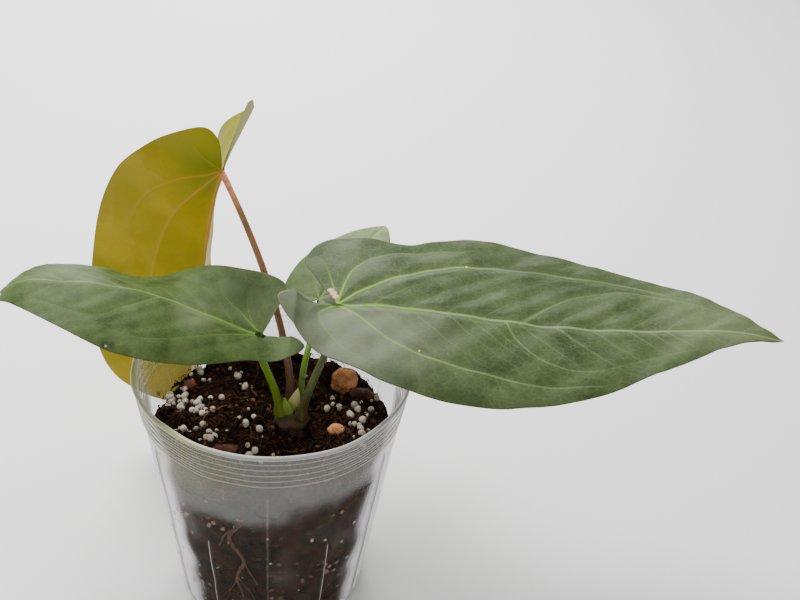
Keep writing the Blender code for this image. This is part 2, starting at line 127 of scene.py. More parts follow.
def step(values, low, high):
    """A soft step from 0 at low to 1 at high: 3t^2 - 2t^3."""
    t = np.clip((values - low) / (high - low), 0, 1)
    return t * t * (3 - 2 * t)


# %% [markdown]
# ## Small tools for meshes
# Every new piece is one or many closed shapes, each a stack of rings of points that
# starts and ends in a single point. `solids` joins the rings with quads and the two ends
# with triangles, and turns the faces outward by the sign of the volume.

# %% Closed shapes from rings
def mesh_object(name, points, triangles, quads, paint):
    """Links a mesh object and gives its points the painted values."""
    mesh = bpy.data.meshes.new(name)
    mesh.vertices.add(len(points))
    mesh.vertices.foreach_set("co", points.astype(np.float32).ravel())
    corners = np.concatenate((triangles.ravel(), quads.ravel()))
    sizes = np.concatenate((np.full(len(triangles), 3), np.full(len(quads), 4)))
    mesh.loops.add(len(corners))
    mesh.loops.foreach_set("vertex_index", corners.astype(np.int32))
    mesh.polygons.add(len(sizes))
    mesh.polygons.foreach_set("loop_start", (np.cumsum(sizes) - sizes).astype(np.int32))
    mesh.update(calc_edges=True)
    mesh.shade_smooth()
    for key, values in paint.items():
        kind = "FLOAT" if values.ndim == 1 else "FLOAT_VECTOR"
        layer = mesh.attributes.new(key, kind, "POINT")
        layer.data.foreach_set("value" if kind == "FLOAT" else "vector",
                               values.astype(np.float32).ravel())
    piece = bpy.data.objects.new(name, mesh)
    bpy.context.scene.collection.objects.link(piece)
    return piece


def solids(name, rings, **paint):
    """One object of closed shapes from rings[shape, ring, point, xyz]; paint[shape, ring, point]."""
    count, rows, columns = rings.shape[:3]

    def flat(values):
        inner = values[:, 1:-1].reshape(count, -1, *values.shape[3:])
        whole = np.concatenate((values[:, :1, 0], inner, values[:, -1:, 0]), 1)
        return whole.reshape(-1, *values.shape[3:])

    at = 1 + np.arange((rows - 2) * columns).reshape(rows - 2, columns)
    after = np.roll(at, -1, 1)
    last = (rows - 2) * columns + 1
    quads = np.stack((at[:-1], after[:-1], after[1:], at[1:]), -1).reshape(-1, 4)
    caps = np.concatenate((np.stack((0 * at[0], after[0], at[0]), -1),
                           np.stack((at[-1], after[-1], 0 * at[-1] + last), -1)))
    points = flat(rings)
    one = points[:last + 1]
    halves = np.concatenate((caps, quads[:, :3], quads[:, [0, 2, 3]]))
    a, b, c = (one[halves[:, i]] - one.mean(0) for i in range(3))
    if (np.cross(a, b) * c).sum() < 0:
        quads, caps = quads[:, ::-1], caps[:, ::-1]
    shift = np.arange(count)[:, None, None] * (last + 1)
    return mesh_object(name, points, (caps + shift).reshape(-1, 3),
                       (quads + shift).reshape(-1, 4), {k: flat(v) for k, v in paint.items()})


def tube_rings(paths, radii, sides):
    """Rings round paths[tube, step, xyz] with radii[tube, step]; the ends close to points."""
    ahead = unit(np.gradient(paths, axis=1))
    helper = np.where(np.abs(ahead[..., 2:]) > 0.9, (1.0, 0, 0), (0, 0, 1.0))
    first = unit(np.cross(ahead, helper))
    second = np.cross(ahead, first)
    turn = np.linspace(0, 2 * np.pi, sides, endpoint=False)
    rings = paths[:, :, None] + radii[..., None, None] * (
        first[:, :, None] * np.cos(turn)[:, None] + second[:, :, None] * np.sin(turn)[:, None])
    return np.concatenate((paths[:, :1, None] + 0 * rings[:, :1], rings,
                           paths[:, -1:, None] + 0 * rings[:, -1:]), 1)


def pebble_rings(rng, centres, sizes, rows, columns, rough, turns=None):
    """Lumpy ellipsoids: spheres whose radius swells and sinks, stretched and turned."""
    down = np.linspace(0, np.pi, rows)[:, None]
    turn = np.linspace(0, 2 * np.pi, columns, endpoint=False)
    ball = np.stack([np.sin(down) * np.cos(turn), np.sin(down) * np.sin(turn),
                     np.cos(down) + 0 * turn], -1)
    shift = rng.uniform(-9, 9, (len(centres), 1, 1, 3))
    radius = 1 + rough * (waves(ball + shift, 2.2, 5) + 0.5 * waves(ball + shift, 1.0, 6))
    local = ball * radius[..., None] * (np.asarray(sizes) / 2)[:, None, None]
    turns = spin(rng, len(centres)) if turns is None else turns
    return np.einsum("nij,nrcj->nrci", turns, local) + np.asarray(centres)[:, None, None]


# %% [markdown]
# ## Small tools for materials
# A `Look` is a Principled material with short ways to add nodes. Patterns read the
# object's own coordinates or the values painted on its points.

# %% Materials from nodes
class Look:
    """A Principled material and short ways to add nodes to it."""

    def __init__(self, name, roughness=0.6, **sockets):
        self.material = bpy.data.materials.new(name)
        self.material.use_nodes = True
        self.tree = self.material.node_tree
        self.shader = self.tree.nodes["Principled BSDF"]
        self.set("Roughness", roughness)
        for socket, value in sockets.items():
            self.set(socket.replace("_", " "), value)

    def link(self, value, socket):
        if isinstance(value, bpy.types.NodeSocket):
            self.tree.links.new(value, socket)
        elif isinstance(value, tuple) and len(socket.default_value) == 4:
            socket.default_value = (*value, 1)[:4]
        else:
            socket.default_value = value

    def set(self, socket, value):
        self.link(value, self.shader.inputs[socket])

    def node(self, kind, **settings):
        made = self.tree.nodes.new("ShaderNode" + kind)
        for key, value in settings.items():
            setattr(made, key, value)
        return made

    def painted(self, name, output="Fac"):
        """A value painted on the points."""
        return self.node("Attribute", attribute_name=name).outputs[output]

    def where(self, stretch=(1, 1, 1), painted=None):
        """The object's own coordinates, or a painted vector, stretched."""
        mapping = self.node("Mapping")
        source = (self.painted(painted, "Vector") if painted
                  else self.node("TexCoord").outputs["Object"])
        self.tree.links.new(source, mapping.inputs["Vector"])
        mapping.inputs["Scale"].default_value = stretch
        return mapping.outputs["Vector"]

    def noise(self, scale, detail=3.0, where=None, roughness=0.5):
        made = self.node("TexNoise")
        self.link(where or self.where(), made.inputs["Vector"])
        made.inputs["Scale"].default_value = scale
        made.inputs["Detail"].default_value = detail
        made.inputs["Roughness"].default_value = roughness
        return made.outputs["Fac"]

    def cells(self, scale, where=None, feature="F1"):
        made = self.node("TexVoronoi", feature=feature)
        self.link(where or self.where(), made.inputs["Vector"])
        made.inputs["Scale"].default_value = scale
        return made.outputs["Distance"]

    def between(self, value, low, high, start=0.0, end=1.0):
        """A value read from low to high as start to end, with soft ends."""
        made = self.node("MapRange", interpolation_type="SMOOTHSTEP")
        for socket, number in zip(made.inputs, (value, low, high, start, end)):
            self.link(number, socket)
        return made.outputs["Result"]

    def maths(self, operation, a, b=0.0):
        made = self.node("Math", operation=operation)
        self.link(a, made.inputs[0])
        self.link(b, made.inputs[1])
        return made.outputs[0]

    def times(self, first, *others):
        """The product of values."""
        for other in others:
            first = self.maths("MULTIPLY", first, other)
        return first

    def split(self, vector):
        """The x, y and z of a vector."""
        made = self.node("SeparateXYZ")
        self.link(vector, made.inputs[0])
        return made.outputs

    def far_from(self, vector, place=(0, 0, 0)):
        """How far a vector is from a place."""
        made = self.node("VectorMath", operation="DISTANCE")
        self.link(vector, made.inputs[0])
        made.inputs[1].default_value = place
        return made.outputs["Value"]

    def mix(self, share, a, b):
        made = self.node("Mix", data_type="RGBA")
        self.link(share, made.inputs["Factor"])
        self.link(a, made.inputs[6])
        self.link(b, made.inputs[7])
        return made.outputs[2]

    def bump(self, height, depth, strength=1.0):
        made = self.node("Bump")
        self.link(height, made.inputs["Height"])
        made.inputs["Distance"].default_value = depth
        made.inputs["Strength"].default_value = strength
        self.set("Normal", made.outputs["Normal"])

    def through(self, share, colour):
        """Lets a share of the light through as soft light of a colour, as a thin leaf does."""
        glow = self.node("BsdfTranslucent")
        self.link(colour, glow.inputs["Color"])
        both = self.node("MixShader")
        both.inputs[0].default_value = share
        self.tree.links.new(self.shader.outputs[0], both.inputs[1])
        self.tree.links.new(glow.outputs[0], both.inputs[2])
        self.tree.links.new(both.outputs[0], self.tree.nodes["Material Output"].inputs[0])


def settle(piece, look, slot, *nodes):
    """Gives a finished piece its look and its body, and hides the nodes that it stands for. The slot
    is not used.
    """
    piece.data.materials.clear()
    piece.data.materials.append(look.material)
    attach(piece, "root")
    if nodes:
        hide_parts(*nodes)
    print(piece.name, len(piece.data.polygons), "faces")


# %% [markdown]
# ## The pot
# The wall is a profile turned round the axis: up the inside, over the rolled lip and down
# the outside, where five fine rings run below the lip. Points bunch up at the upright
# ribs, so that a rib 1 mm wide keeps its shape. Long ribs reach up to the rings and short
# ones stay on the lower half. Slow waves make the thin wall and its lip a little uneven.

# %% Pot wall
RIBS = 12
RIB_TURN = math.radians(4)
RINGS, RING_PITCH, RING_STAND, RING_WIDTH = 5, 3.1 * MM, 0.5 * MM, 0.36 * MM
RIB_STAND, RIB_WIDTH = 0.7 * MM, 0.55 * MM
FINE_DEPTH = 21 * MM
rib_top = 2 * MM + RING_PITCH * (RINGS + 1)


def wall_radius(height):
    """The outer radius of the plain wall at a height."""
    return RIM - LIP - TAPER * (HEIGHT - height)


def bell(distance, width):
    """A rounded bump: exp(-(distance / width)^2)."""
    return np.exp(-(distance / width) ** 2)


def pot_profile():
    """The wall's section as (radius, height): floor, inside, lip, outside, underside."""
    low = np.linspace(FLOOR * 1.5, HEIGHT - FINE_DEPTH, 50)[:-1]
    heights = np.concatenate((low, np.linspace(HEIGHT - FINE_DEPTH, HEIGHT - 1.2 * MM, 90)))
    depth = HEIGHT - heights
    rings = sum(bell(depth - 2 * MM - RING_PITCH * (ring + 0.8), RING_WIDTH)
                for ring in range(RINGS))
    outer = wall_radius(heights) + RING_STAND * rings
    inner = wall_radius(heights) - WALL + 0.4 * RING_STAND * rings
    roll = np.linspace(-0.4 * np.pi, 1.1 * np.pi, 14)
    bead = LIP * 0.95
    middle = RIM - bead
    lip = np.stack([middle - bead * np.cos(np.pi - roll), HEIGHT - bead + bead * np.sin(roll)], -1)
    bottom = np.linspace(1, 0, 26)[:, None]
    under = np.concatenate((bottom * (wall_radius(0) - WALL), 0 * bottom), 1)
    floor = np.concatenate((bottom[::-1] * (wall_radius(FLOOR) - 1.3 * WALL),
                            0 * bottom + FLOOR), 1)
    up = np.stack([inner, heights], -1)
    down = np.stack([outer, heights], -1)[::-1]
    return np.concatenate((floor, up, lip[::-1], down, under))


def rib_angles():
    """Angles that bunch up at the ribs, with each one's rib and how far off that rib it is."""
    turn = np.linspace(0, 2 * np.pi, 24 * RIBS, endpoint=False)
    turn = turn - 0.85 / RIBS * np.sin(RIBS * turn)
    place = turn * RIBS / (2 * np.pi)
    nearest = np.round(place)
    return turn, nearest % RIBS, (place - nearest) * 2 * np.pi / RIBS


def make_pot():
    """The fine wall, painted where its rings and ribs stand proud."""
    profile = pot_profile()
    turn, index, off = rib_angles()
    radius, height = profile[:, :1], profile[:, 1:]
    reach = np.where(index % 2 == 1, rib_top, 0.5 * HEIGHT)
    outside = step(radius, wall_radius(height) - WALL / 3, wall_radius(height))
    rib = bell(off * RIM, RIB_WIDTH) * step(HEIGHT - height, reach, reach + 5 * MM)
    rib = rib * outside * step(height, FLOOR, 4 * FLOOR)
    turn = turn + RIB_TURN
    around = np.stack([np.cos(turn), np.sin(turn)], -1)
    spots = np.concatenate((radius[..., None] * around,
                            height[..., None] + 0 * around[..., :1]), -1)
    uneven = 0.35 * MM * waves(spots, 60 * MM, 3) * step(height, 60 * MM, HEIGHT)
    uneven = uneven + 0.12 * MM * waves(spots, 22 * MM, 4) * step(height, 5 * MM, 30 * MM)
    out = radius + RIB_STAND * rib + uneven * step(radius, 20 * MM, 35 * MM)
    line = step(radius, wall_radius(height) + 0.12 * MM, wall_radius(height) + 0.42 * MM)
    line = np.where(rib > 0.02, 0.45 * rib, line * (height < HEIGHT - 2.2 * MM))
    rings = np.concatenate((out[..., None] * around, spots[..., 2:]), -1)
    return solids("pot_wall", rings[None], ridge=line[None])


pot = make_pot()

# %% [markdown]
# The drain holes are cut through the floor with a ring of upright cylinders, then the cut
# mesh is kept and the cylinders are thrown away.

# %% Drain holes
DRAINS, DRAIN_RADIUS, DRAIN_CIRCLE = 8, 3.5 * MM, 0.72


def cut_drains(piece):
    """Cuts the drain holes through the floor of the pot."""
    angle = 2 * np.pi * (np.arange(DRAINS) + 0.5) / DRAINS
    reach = wall_radius(0) * DRAIN_CIRCLE
    low = np.stack([reach * np.cos(angle), reach * np.sin(angle), -4 * FLOOR + 0 * angle], -1)
    paths = np.stack([low, low + (0, 0, 8 * FLOOR)], 1)
    cutter = solids("drain_cutters", tube_rings(paths, np.full((DRAINS, 2), DRAIN_RADIUS), 24))
    cut = piece.modifiers.new("drains", "BOOLEAN")
    cut.object = cutter
    bpy.context.view_layer.update()
    mesh = bpy.data.meshes.new_from_object(
        piece.evaluated_get(bpy.context.evaluated_depsgraph_get()))
    piece.modifiers.clear()
    piece.data = mesh
    bpy.data.objects.remove(cutter, do_unlink=True)


cut_drains(pot)

# %% [markdown]
# Soft cloudy plastic: partly clear, milky where it is scuffed, whiter on its lip and ribs.
# Where the wall is seen edge-on it turns opaque and lilac-white: a painted reflection of the bright
# surround.
# A yellow-green film grows in the headspace on the left, and brown specks of medium
# cling to the wall, most of them low down and at the sides.

# %% Pot look
WET_LINE, DRY_LINE = HEIGHT - 46 * MM, HEIGHT - 33 * MM


def dry_wall(look, x, z):
    """0 on the wet wall and 1 on the dry one; the line is ragged and higher on the right."""
    ragged = look.maths("ADD", z, look.between(look.noise(22, 3), 0.3, 0.7, -7 * MM, 7 * MM))
    ragged = look.maths("SUBTRACT", ragged, look.times(x, 0.08))
    return look.between(ragged, WET_LINE, DRY_LINE)


def green_film(look, x, z, cloud):
    """The strength of the film that grows high on the left."""
    upper = look.between(z, HEIGHT - 40 * MM, HEIGHT - 12 * MM)
    left = look.between(x, 0.004, -0.05)
    return look.times(upper, left, look.between(cloud, 0.35, 0.65, 0.3, 1.0))


def clinging_specks(look, z, slant):
    """Round specks in patches, below the rings and mostly at the sides."""
    speck = look.between(look.cells(240), 0.30, 0.20)
    patch = look.maths("ADD", look.noise(60, 3), look.times(slant, 0.12))
    patch = look.between(patch, 0.57, 0.66)
    low = look.between(z, HEIGHT - 6 * MM, HEIGHT - 30 * MM)
    return look.times(speck, patch, low)


def pot_look():
    look = Look("pot_plastic", roughness=0.3, IOR=1.5)
    cloud = look.noise(45, 4)
    streak = look.noise(32, 4, look.where((1, 1, 0.35)))
    x, _, z = look.split(look.where())
    dry = dry_wall(look, x, z)
    rubbed = look.between(streak, 0.52, 0.70, 0, 0.16)
    haze = look.mix(dry, (0.05, 0.05, 0.05), (0.25, 0.25, 0.25))
    haze = look.maths("ADD", haze, look.times(rubbed, look.between(cloud, 0.4, 0.7)))
    # Painted reflection: where the wall is seen edge-on, its colour turns lilac-white and its alpha
    # rises.
    facing = look.node("LayerWeight")
    facing.inputs["Blend"].default_value = 0.5
    slant = look.between(facing.outputs["Facing"], 0.62, 0.78, 0, 0.80)
    film = green_film(look, x, z, cloud)
    milky_and_reflection = look.mix(dry, (0.22, 0.18, 0.15), (0.36, 0.36, 0.34))
    milky_and_reflection = look.mix(look.between(facing.outputs["Facing"], 0.58, 0.76), milky_and_reflection, (0.85, 0.80, 0.84))
    milky_and_reflection = look.mix(film, milky_and_reflection, (0.45, 0.46, 0.08))
    ridge = look.painted("ridge")
    milky_and_reflection = look.mix(ridge, milky_and_reflection, (0.50, 0.48, 0.36))
    specks = clinging_specks(look, z, slant)
    look.set("Base Color", look.mix(specks, milky_and_reflection, (0.16, 0.07, 0.025)))
    lip = look.between(z, HEIGHT - 2.2 * MM, HEIGHT - 1.4 * MM, 0, 0.55)
    solid = look.maths("ADD", haze, lip)
    solid = look.maths("ADD", solid, look.times(ridge, 0.32))
    solid = look.maths("MAXIMUM", solid, slant)
    solid = look.maths("MAXIMUM", solid, look.times(specks, 0.85))
    solid = look.maths("MAXIMUM", solid, look.times(film, 0.55))
    look.set("Alpha", solid)
    look.bump(streak, 0.2 * MM, 0.3)
    return look


settle(pot, pot_look(), "pot_plastic", "pot_shell")


# %% [markdown]
# ## The growing medium
# Its top is a disc of lumps over lumps, from 12 mm mounds to 1 mm crumbs, and its side
# follows the wall with a ragged upper edge. The crown stands in it, so nothing is cut.

# %% Medium
def ground(x, y):
    """The height of the medium's top: three sizes of lumps over the medium's level."""
    flat = np.stack([x, y, 0 * x], -1)
    return (soil + 0.9 * MM * waves(flat, 16 * MM, 11) + 0.5 * MM * waves(flat, 6 * MM, 12)
            + 0.25 * MM * waves(flat, 2.4 * MM, 13))


def make_medium():
    """The closed plug of medium, from the middle of its top to the middle of its underside."""
    turn = np.linspace(0, 2 * np.pi, 300, endpoint=False)
    around = np.stack([np.cos(turn), np.sin(turn)], -1)
    wide = wall_radius(soil) - WALL - 0.5 * MM
    share = np.linspace(0, 1, 130)[:, None]
    flat = share[..., None] * wide * around
    top = np.concatenate((flat, ground(flat[..., 0], flat[..., 1])[..., None]), -1)
    fall = step(share, 0.9, 1.0) * (2.2 * MM + 1.6 * MM * waves(flat, 22 * MM, 14))
    top[..., 2] -= np.maximum(fall, 0)
    edge = top[-1, :, 2]
    down = np.linspace(0, 1, 90)[1:, None]
    height = edge * (1 - down) + (FLOOR + 0.4 * MM) * down
    plain = wall_radius(height) - WALL - 0.5 * MM
    spots = np.concatenate((plain[..., None] * around, height[..., None]), -1)
    hollow = np.maximum(0, 0.5 * waves(spots, 7 * MM, 15) + 0.4 * waves(spots, 2.5 * MM, 16))
    spots[..., :2] -= (hollow * 0.7 * MM)[..., None] * around
    base = spots[-1:] * ((0, 0, 1.0)) + 0 * spots[-1:]
    return solids("medium", np.concatenate((top, spots, base))[None])


def medium_look():
    look = Look("growing_medium", roughness=0.95, Specular_IOR_Level=0.1)
    lump, fine = look.noise(170, 6, roughness=0.65), look.noise(620, 4)
    thread = look.noise(260, 5, look.where((1, 1, 3.5)))
    colour = look.mix(look.between(lump, 0.40, 0.66), (0.004, 0.003, 0.002), (0.034, 0.012, 0.005))
    colour = look.mix(look.between(thread, 0.60, 0.74), colour, (0.09, 0.034, 0.014))
    colour = look.mix(look.between(look.cells(330), 0.10, 0.05), colour, (0.16, 0.12, 0.09))
    look.set("Base Color", colour)
    look.bump(look.maths("ADD", lump, look.times(fine, 0.25)), 0.9 * MM)
    return look


settle(make_medium(), medium_look(), "growing_medium", "growing_medium")


# %% [markdown]
# ## Coir and crumbs on the medium
# Coir is hundreds of thin, slightly curved threads that lie on the surface with their
# ends dipping in. Crumbs of peat and bark lie between them.

# %% Coir threads and crumbs
def in_disc(rng, count, radius):
    """Random places in a disc, equally dense all over."""
    reach = radius * np.sqrt(rng.uniform(0, 1, count))
    turn = rng.uniform(0, 2 * np.pi, count)
    return np.stack([reach * np.cos(turn), reach * np.sin(turn)], -1)


room = wall_radius(soil) - WALL - 1.5 * MM


def make_threads(name, count, seed, longest, thickest):
    """Threads of random length, direction and bend, that follow the ground."""
    rng = np.random.default_rng(seed)
    steps = np.linspace(-0.5, 0.5, 9)
    middle = in_disc(rng, count, room - 2 * MM)
    turn = rng.uniform(0, 2 * np.pi, (count, 1)) + rng.normal(0, 0.8, (count, 1)) * steps
    length = longest * rng.uniform(0.3, 1, (count, 1)) / 8
    x = middle[:, :1] + np.cumsum(np.cos(turn) * length, 1)
    y = middle[:, 1:] + np.cumsum(np.sin(turn) * length, 1)
    reach = np.hypot(x, y)
    keep = np.minimum(1, (room - 0.5 * MM) / reach)
    x, y = x * keep, y * keep
    radii = thickest * rng.uniform(0.3, 1, (count, 1)) * (1 - 0.9 * (2 * np.abs(steps)) ** 4)
    arch = rng.uniform(0, 2.2 * MM, (count, 1)) * (1 - (2 * steps) ** 2)
    z = ground(x, y) + arch + radii * 0.4 - 0.3 * MM
    rings = tube_rings(np.stack([x, y, z], -1), radii, 4)
    tone = rng.uniform(0, 1, (count, 1, 1)) + np.zeros(rings.shape[:3])
    return solids(name, rings, tone=tone)


def coir_look():
    look = Look("coir", roughness=0.85, Specular_IOR_Level=0.15)
    tone = look.painted("tone")
    colour = look.mix(look.between(tone, 0.2, 0.8), (0.006, 0.003, 0.002), (0.075, 0.028, 0.011))
    look.set("Base Color", look.mix(look.between(tone, 0.88, 1), colour, (0.22, 0.095, 0.035)))
    return look


def make_crumbs(name, count, seed, low, high):
    """Angular crumbs, half sunk in the ground."""
    rng = np.random.default_rng(seed)
    place = in_disc(rng, count, room - 1 * MM)
    size = rng.uniform(low, high, (count, 1)) * rng.uniform(0.45, 1, (count, 3))
    z = ground(place[:, 0], place[:, 1]) + size.min(1) * 0.1
    centres = np.concatenate((place, z[:, None]), 1)
    rings = pebble_rings(rng, centres, size, 5, 6, 0.16)
    tone = rng.uniform(0, 1, (count, 1, 1)) + np.zeros(rings.shape[:3])
    return solids(name, rings, tone=tone)


coir = coir_look()
settle(make_threads("coir_fine", 900, 21, 14 * MM, 0.22 * MM), coir, "growing_medium")
settle(make_threads("coir_coarse", 130, 22, 20 * MM, 0.55 * MM), coir, "growing_medium")
settle(make_crumbs("peat_crumbs", 1500, 23, 0.8 * MM, 2.8 * MM), coir, "growing_medium")


# %% [markdown]
# ## Perlite
# A grain stands for each packed grain, in its place and of its size. Smaller loose
# grains gather round them, and a few more show through the wall.

# %% Perlite grains
grain_nodes = sorted(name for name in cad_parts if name.startswith("perlite"))
grain_boxes = np.array([[list(corner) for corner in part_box(name)] for name in grain_nodes])


def perlite_look():
    look = Look("perlite", roughness=0.85)
    tone = look.painted("tone")
    colour = look.mix(look.between(tone, 0.0, 0.75), (0.24, 0.20, 0.17), (0.66, 0.58, 0.48))
    stain = look.between(look.noise(420, 3), 0.52, 0.72, 0, 0.6)
    look.set("Base Color", look.mix(stain, colour, (0.26, 0.17, 0.11)))
    look.bump(look.noise(1500, 3), 0.3 * MM)
    return look


def make_perlite():
    """The main grains, loose ones round them, denser at the left, and duller ones at the wall."""
    rng = np.random.default_rng(31)
    fine, walls = (12, 15), 70
    middle, size = grain_boxes.mean(1), grain_boxes[:, 1] - grain_boxes[:, 0]
    main = pebble_rings(rng, middle, size, *fine, 0.05)
    centres = np.repeat(middle[:, :2], np.where(middle[:, 0] < -25 * MM, 7, 3), 0)
    near = centres + rng.normal(0, 3.2 * MM, centres.shape)
    near = np.concatenate((near, in_disc(rng, 18, room - 2 * MM)))
    away = np.linalg.norm(near - crown_at[:2], axis=1)
    near = near[(np.hypot(*near.T) < room - 1.5 * MM) & (away > 9 * MM)]
    small = rng.uniform(1.2 * MM, 3.4 * MM, (len(near), 1)) * rng.uniform(0.75, 1, (len(near), 3))
    z = ground(near[:, 0], near[:, 1]) + small.min(1) * rng.uniform(0.0, 0.4, len(near))
    loose = pebble_rings(rng, np.concatenate((near, z[:, None]), 1), small, *fine, 0.06)
    turn = rng.uniform(0, 2 * np.pi, walls)
    height = soil * rng.uniform(0.08, 0.95, walls)
    beside = (wall_radius(height) - WALL - 1.3 * MM)[:, None]
    centres = np.concatenate((beside * np.stack([np.cos(turn), np.sin(turn)], -1),
                              height[:, None]), 1)
    wall_sizes = rng.uniform(1.0 * MM, 2.2 * MM, (walls, 1)) + np.zeros(3)
    walled = pebble_rings(rng, centres, wall_sizes, *fine, 0.05)
    rings = np.concatenate((main, loose, walled))
    dull = np.concatenate((np.zeros(len(main) + len(loose)), np.full(walls, 0.55)))
    tone = np.clip(rng.uniform(0.25, 1, len(rings)) - dull, 0, 1)
    return solids("perlite_grains", rings,
                  tone=tone[:, None, None] + np.zeros(rings.shape[:3]))


settle(make_perlite(), perlite_look(), "perlite", *grain_nodes)


# %% [markdown]
# ## Stones and bark
# Fired clay balls have a pitted, porous skin. Bark is a lumpy, lightly pitted piece.

# %% Stones and bark
def stone_from(node, seed, rough, rows=70, columns=90, pits=0.0):
    """A lumpy stone in the place and of the size of a packed one, with round pits."""
    low, high = (np.array(corner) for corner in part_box(node))
    rng = np.random.default_rng(seed)
    still = np.eye(3)[None]
    rings = pebble_rings(rng, [(low + high) / 2], [high - low], rows, columns, rough, still)[0]
    middle = (low + high) / 2
    fine = waves(rings, 2.6 * MM, seed + 1, 24)
    finer = waves(rings, 1.1 * MM, seed + 2, 24)
    dent = pits * (np.maximum(0, fine - 0.4) + 0.5 * np.maximum(0, finer - 0.5))
    return middle + (rings - middle) * (1 - dent[..., None])


def clay_look(name, light, dark):
    look = Look(name, roughness=0.9)
    pores = look.noise(900, 4)
    colour = look.mix(look.between(look.noise(240, 4), 0.35, 0.68), dark, light)
    # Painted shade: the colour is darkest where the pore bump sinks deepest.
    look.set("Base Color", look.mix(look.between(pores, 0.36, 0.28), colour, (0.04, 0.02, 0.012)))
    look.bump(pores, 0.5 * MM)
    return look


clay = clay_look("clay_stone", (0.72, 0.31, 0.12), (0.36, 0.14, 0.055))
red_clay = clay_look("red_clay", (0.28, 0.085, 0.03), (0.12, 0.035, 0.014))
bark = clay_look("bark", (0.15, 0.045, 0.014), (0.03, 0.010, 0.005))
for node, seed, rough, pits, look, slot in (
        ("stone_clay_large", 41, 0.10, 0.09, clay, "clay_stone"),
        ("stone_clay_small", 42, 0.05, 0.05, clay, "clay_stone"),
        ("stone_red", 43, 0.05, 0.05, red_clay, "clay_stone"),
        ("bark_chunk", 44, 0.10, 0.04, bark, "bark"),
        ("bark_flake", 45, 0.12, 0.03, bark, "bark")):
    settle(solids(node + "_fine", stone_from(node, seed, rough, pits=pits)[None]), look, slot, node)


# %% [markdown]
# ## Leaves: the shape
# A leaf is drawn flat first, in shares of its length: `along` runs from the joint to the
# tip and `across` away from the midrib. The flat leaf is then bent. Its midrib follows
# angles (heading, climb and roll, in degrees, at equal steps), each side folds up from it
# and curls, and the lobes behind the joint lift. Joints are in mm from the crown.
# A stalk is (rise, lean, reach, sway, share): how far it first goes up and leans out and
# how far it runs straight and sideways into the joint, in mm, then its share of the
# stalks' radius. base_turn is where it stands round the crown, in degrees.

# %% Leaf sizes
YOUNG_SIDE = ((-0.08, 0.04), (-0.15, 0.12), (-0.12, 0.22), (0.02, 0.28), (0.25, 0.3),
              (0.5, 0.26), (0.75, 0.17), (0.92, 0.07))
HANGING_SIDE = ((-0.07, 0.015), (-0.13, 0.035), (-0.165, 0.075), (-0.14, 0.125), (-0.06, 0.195),
                (0.06, 0.255), (0.25, 0.295), (0.5, 0.305), (0.72, 0.285), (0.88, 0.225),
                (0.97, 0.11))
LEAVES = {
    "right": dict(
        joint=(16.2, 4, 58.7), length=170, heading=(-3, -4, -3), climb=(9, -2, -1, 4, 8, -14),
        roll=(4, 4), fold=((4, 4), (-8, -8)), curl=(-4, -14), lobe_lift=(6, 38),
        left=((-0.06, 0.09), (-0.09, 0.14), (-0.07, 0.21), (-0.01, 0.245), (0.13, 0.22),
              (0.3, 0.27), (0.5, 0.24), (0.7, 0.17), (0.88, 0.075)),
        right=((-0.05, 0.01), (-0.11, 0.025), (-0.145, 0.07), (-0.1, 0.115), (0.02, 0.165),
               (0.17, 0.22), (0.33, 0.24), (0.5, 0.215), (0.7, 0.13), (0.85, 0.055)),
        stalk=(20, 3, 14, 0, 1.0), base_turn=-30),
    "left": dict(
        joint=(-11.1, -8, 50.2), length=110, heading=(181, 180, 178),
        climb=(18, 24, 20, 8, 0, -14, -75), roll=(-2, -2),
        fold=((-14, -12, -10, -8, -10), (24, 22, 8, -16, -26, -22, -18, -15, -10)),
        curl=(-20, 0), lobe_lift=(24, 14),
        left=((-0.06, 0.0), (-0.12, 0.01), (-0.155, 0.055), (-0.1, 0.095), (0.02, 0.115),
              (0.2, 0.21), (0.4, 0.26), (0.58, 0.235), (0.78, 0.15), (0.93, 0.06)),
        right=((-0.02, 0.08), (-0.04, 0.16), (-0.035, 0.215), (0.02, 0.235), (0.14, 0.225),
               (0.28, 0.21), (0.4, 0.185), (0.5, 0.185), (0.63, 0.21), (0.76, 0.19),
               (0.87, 0.11), (0.95, 0.045)),
        stalk=(20, 3, 10, 0, 1.0), base_turn=190),
    "small": dict(
        joint=(7.5, 30, 42), length=58, heading=(66, 64), climb=(12, 4, -4),
        roll=(0, 0), fold=((8, 4), (8, 4)), curl=(-6, -6), lobe_lift=(6, 6),
        left=YOUNG_SIDE, right=YOUNG_SIDE,
        stalk=(30, 0, 12, 0, 0.8), base_turn=50),
    "back": dict(
        joint=(-33.3, 0, 0), length=153, heading=(124, 124, 130, 134),
        climb=(-62, -73, -76, -78, -80), roll=(22, 24),
        fold=((4, 6), (66, 82, 84, 82, 78, 74, 70, 66, 62)), curl=(8, 0), lobe_lift=(0, 4),
        left=HANGING_SIDE, right=HANGING_SIDE,
        stalk=(40, 2, 20, 8, 0.9), base_turn=100),
}
BACK_JOINT_Y = RIM - 10 * MM
BACK_TIP_HEIGHT = HEIGHT - 87 * MM
STALK_RADIUS, STALK_CIRCLE = 1.7 * MM, 4.4 * MM


# %% [markdown]
# `midrib` adds up small steps ahead to get the places along a midrib, with its left and
# upper directions there. `on_leaf` puts a point of the flat leaf on the bent one: going
# across by d, with a fold f and a curl k, it moves (sin(f + kd) - sin f) / k outwards and
# (cos f - cos(f + kd)) / k upwards.

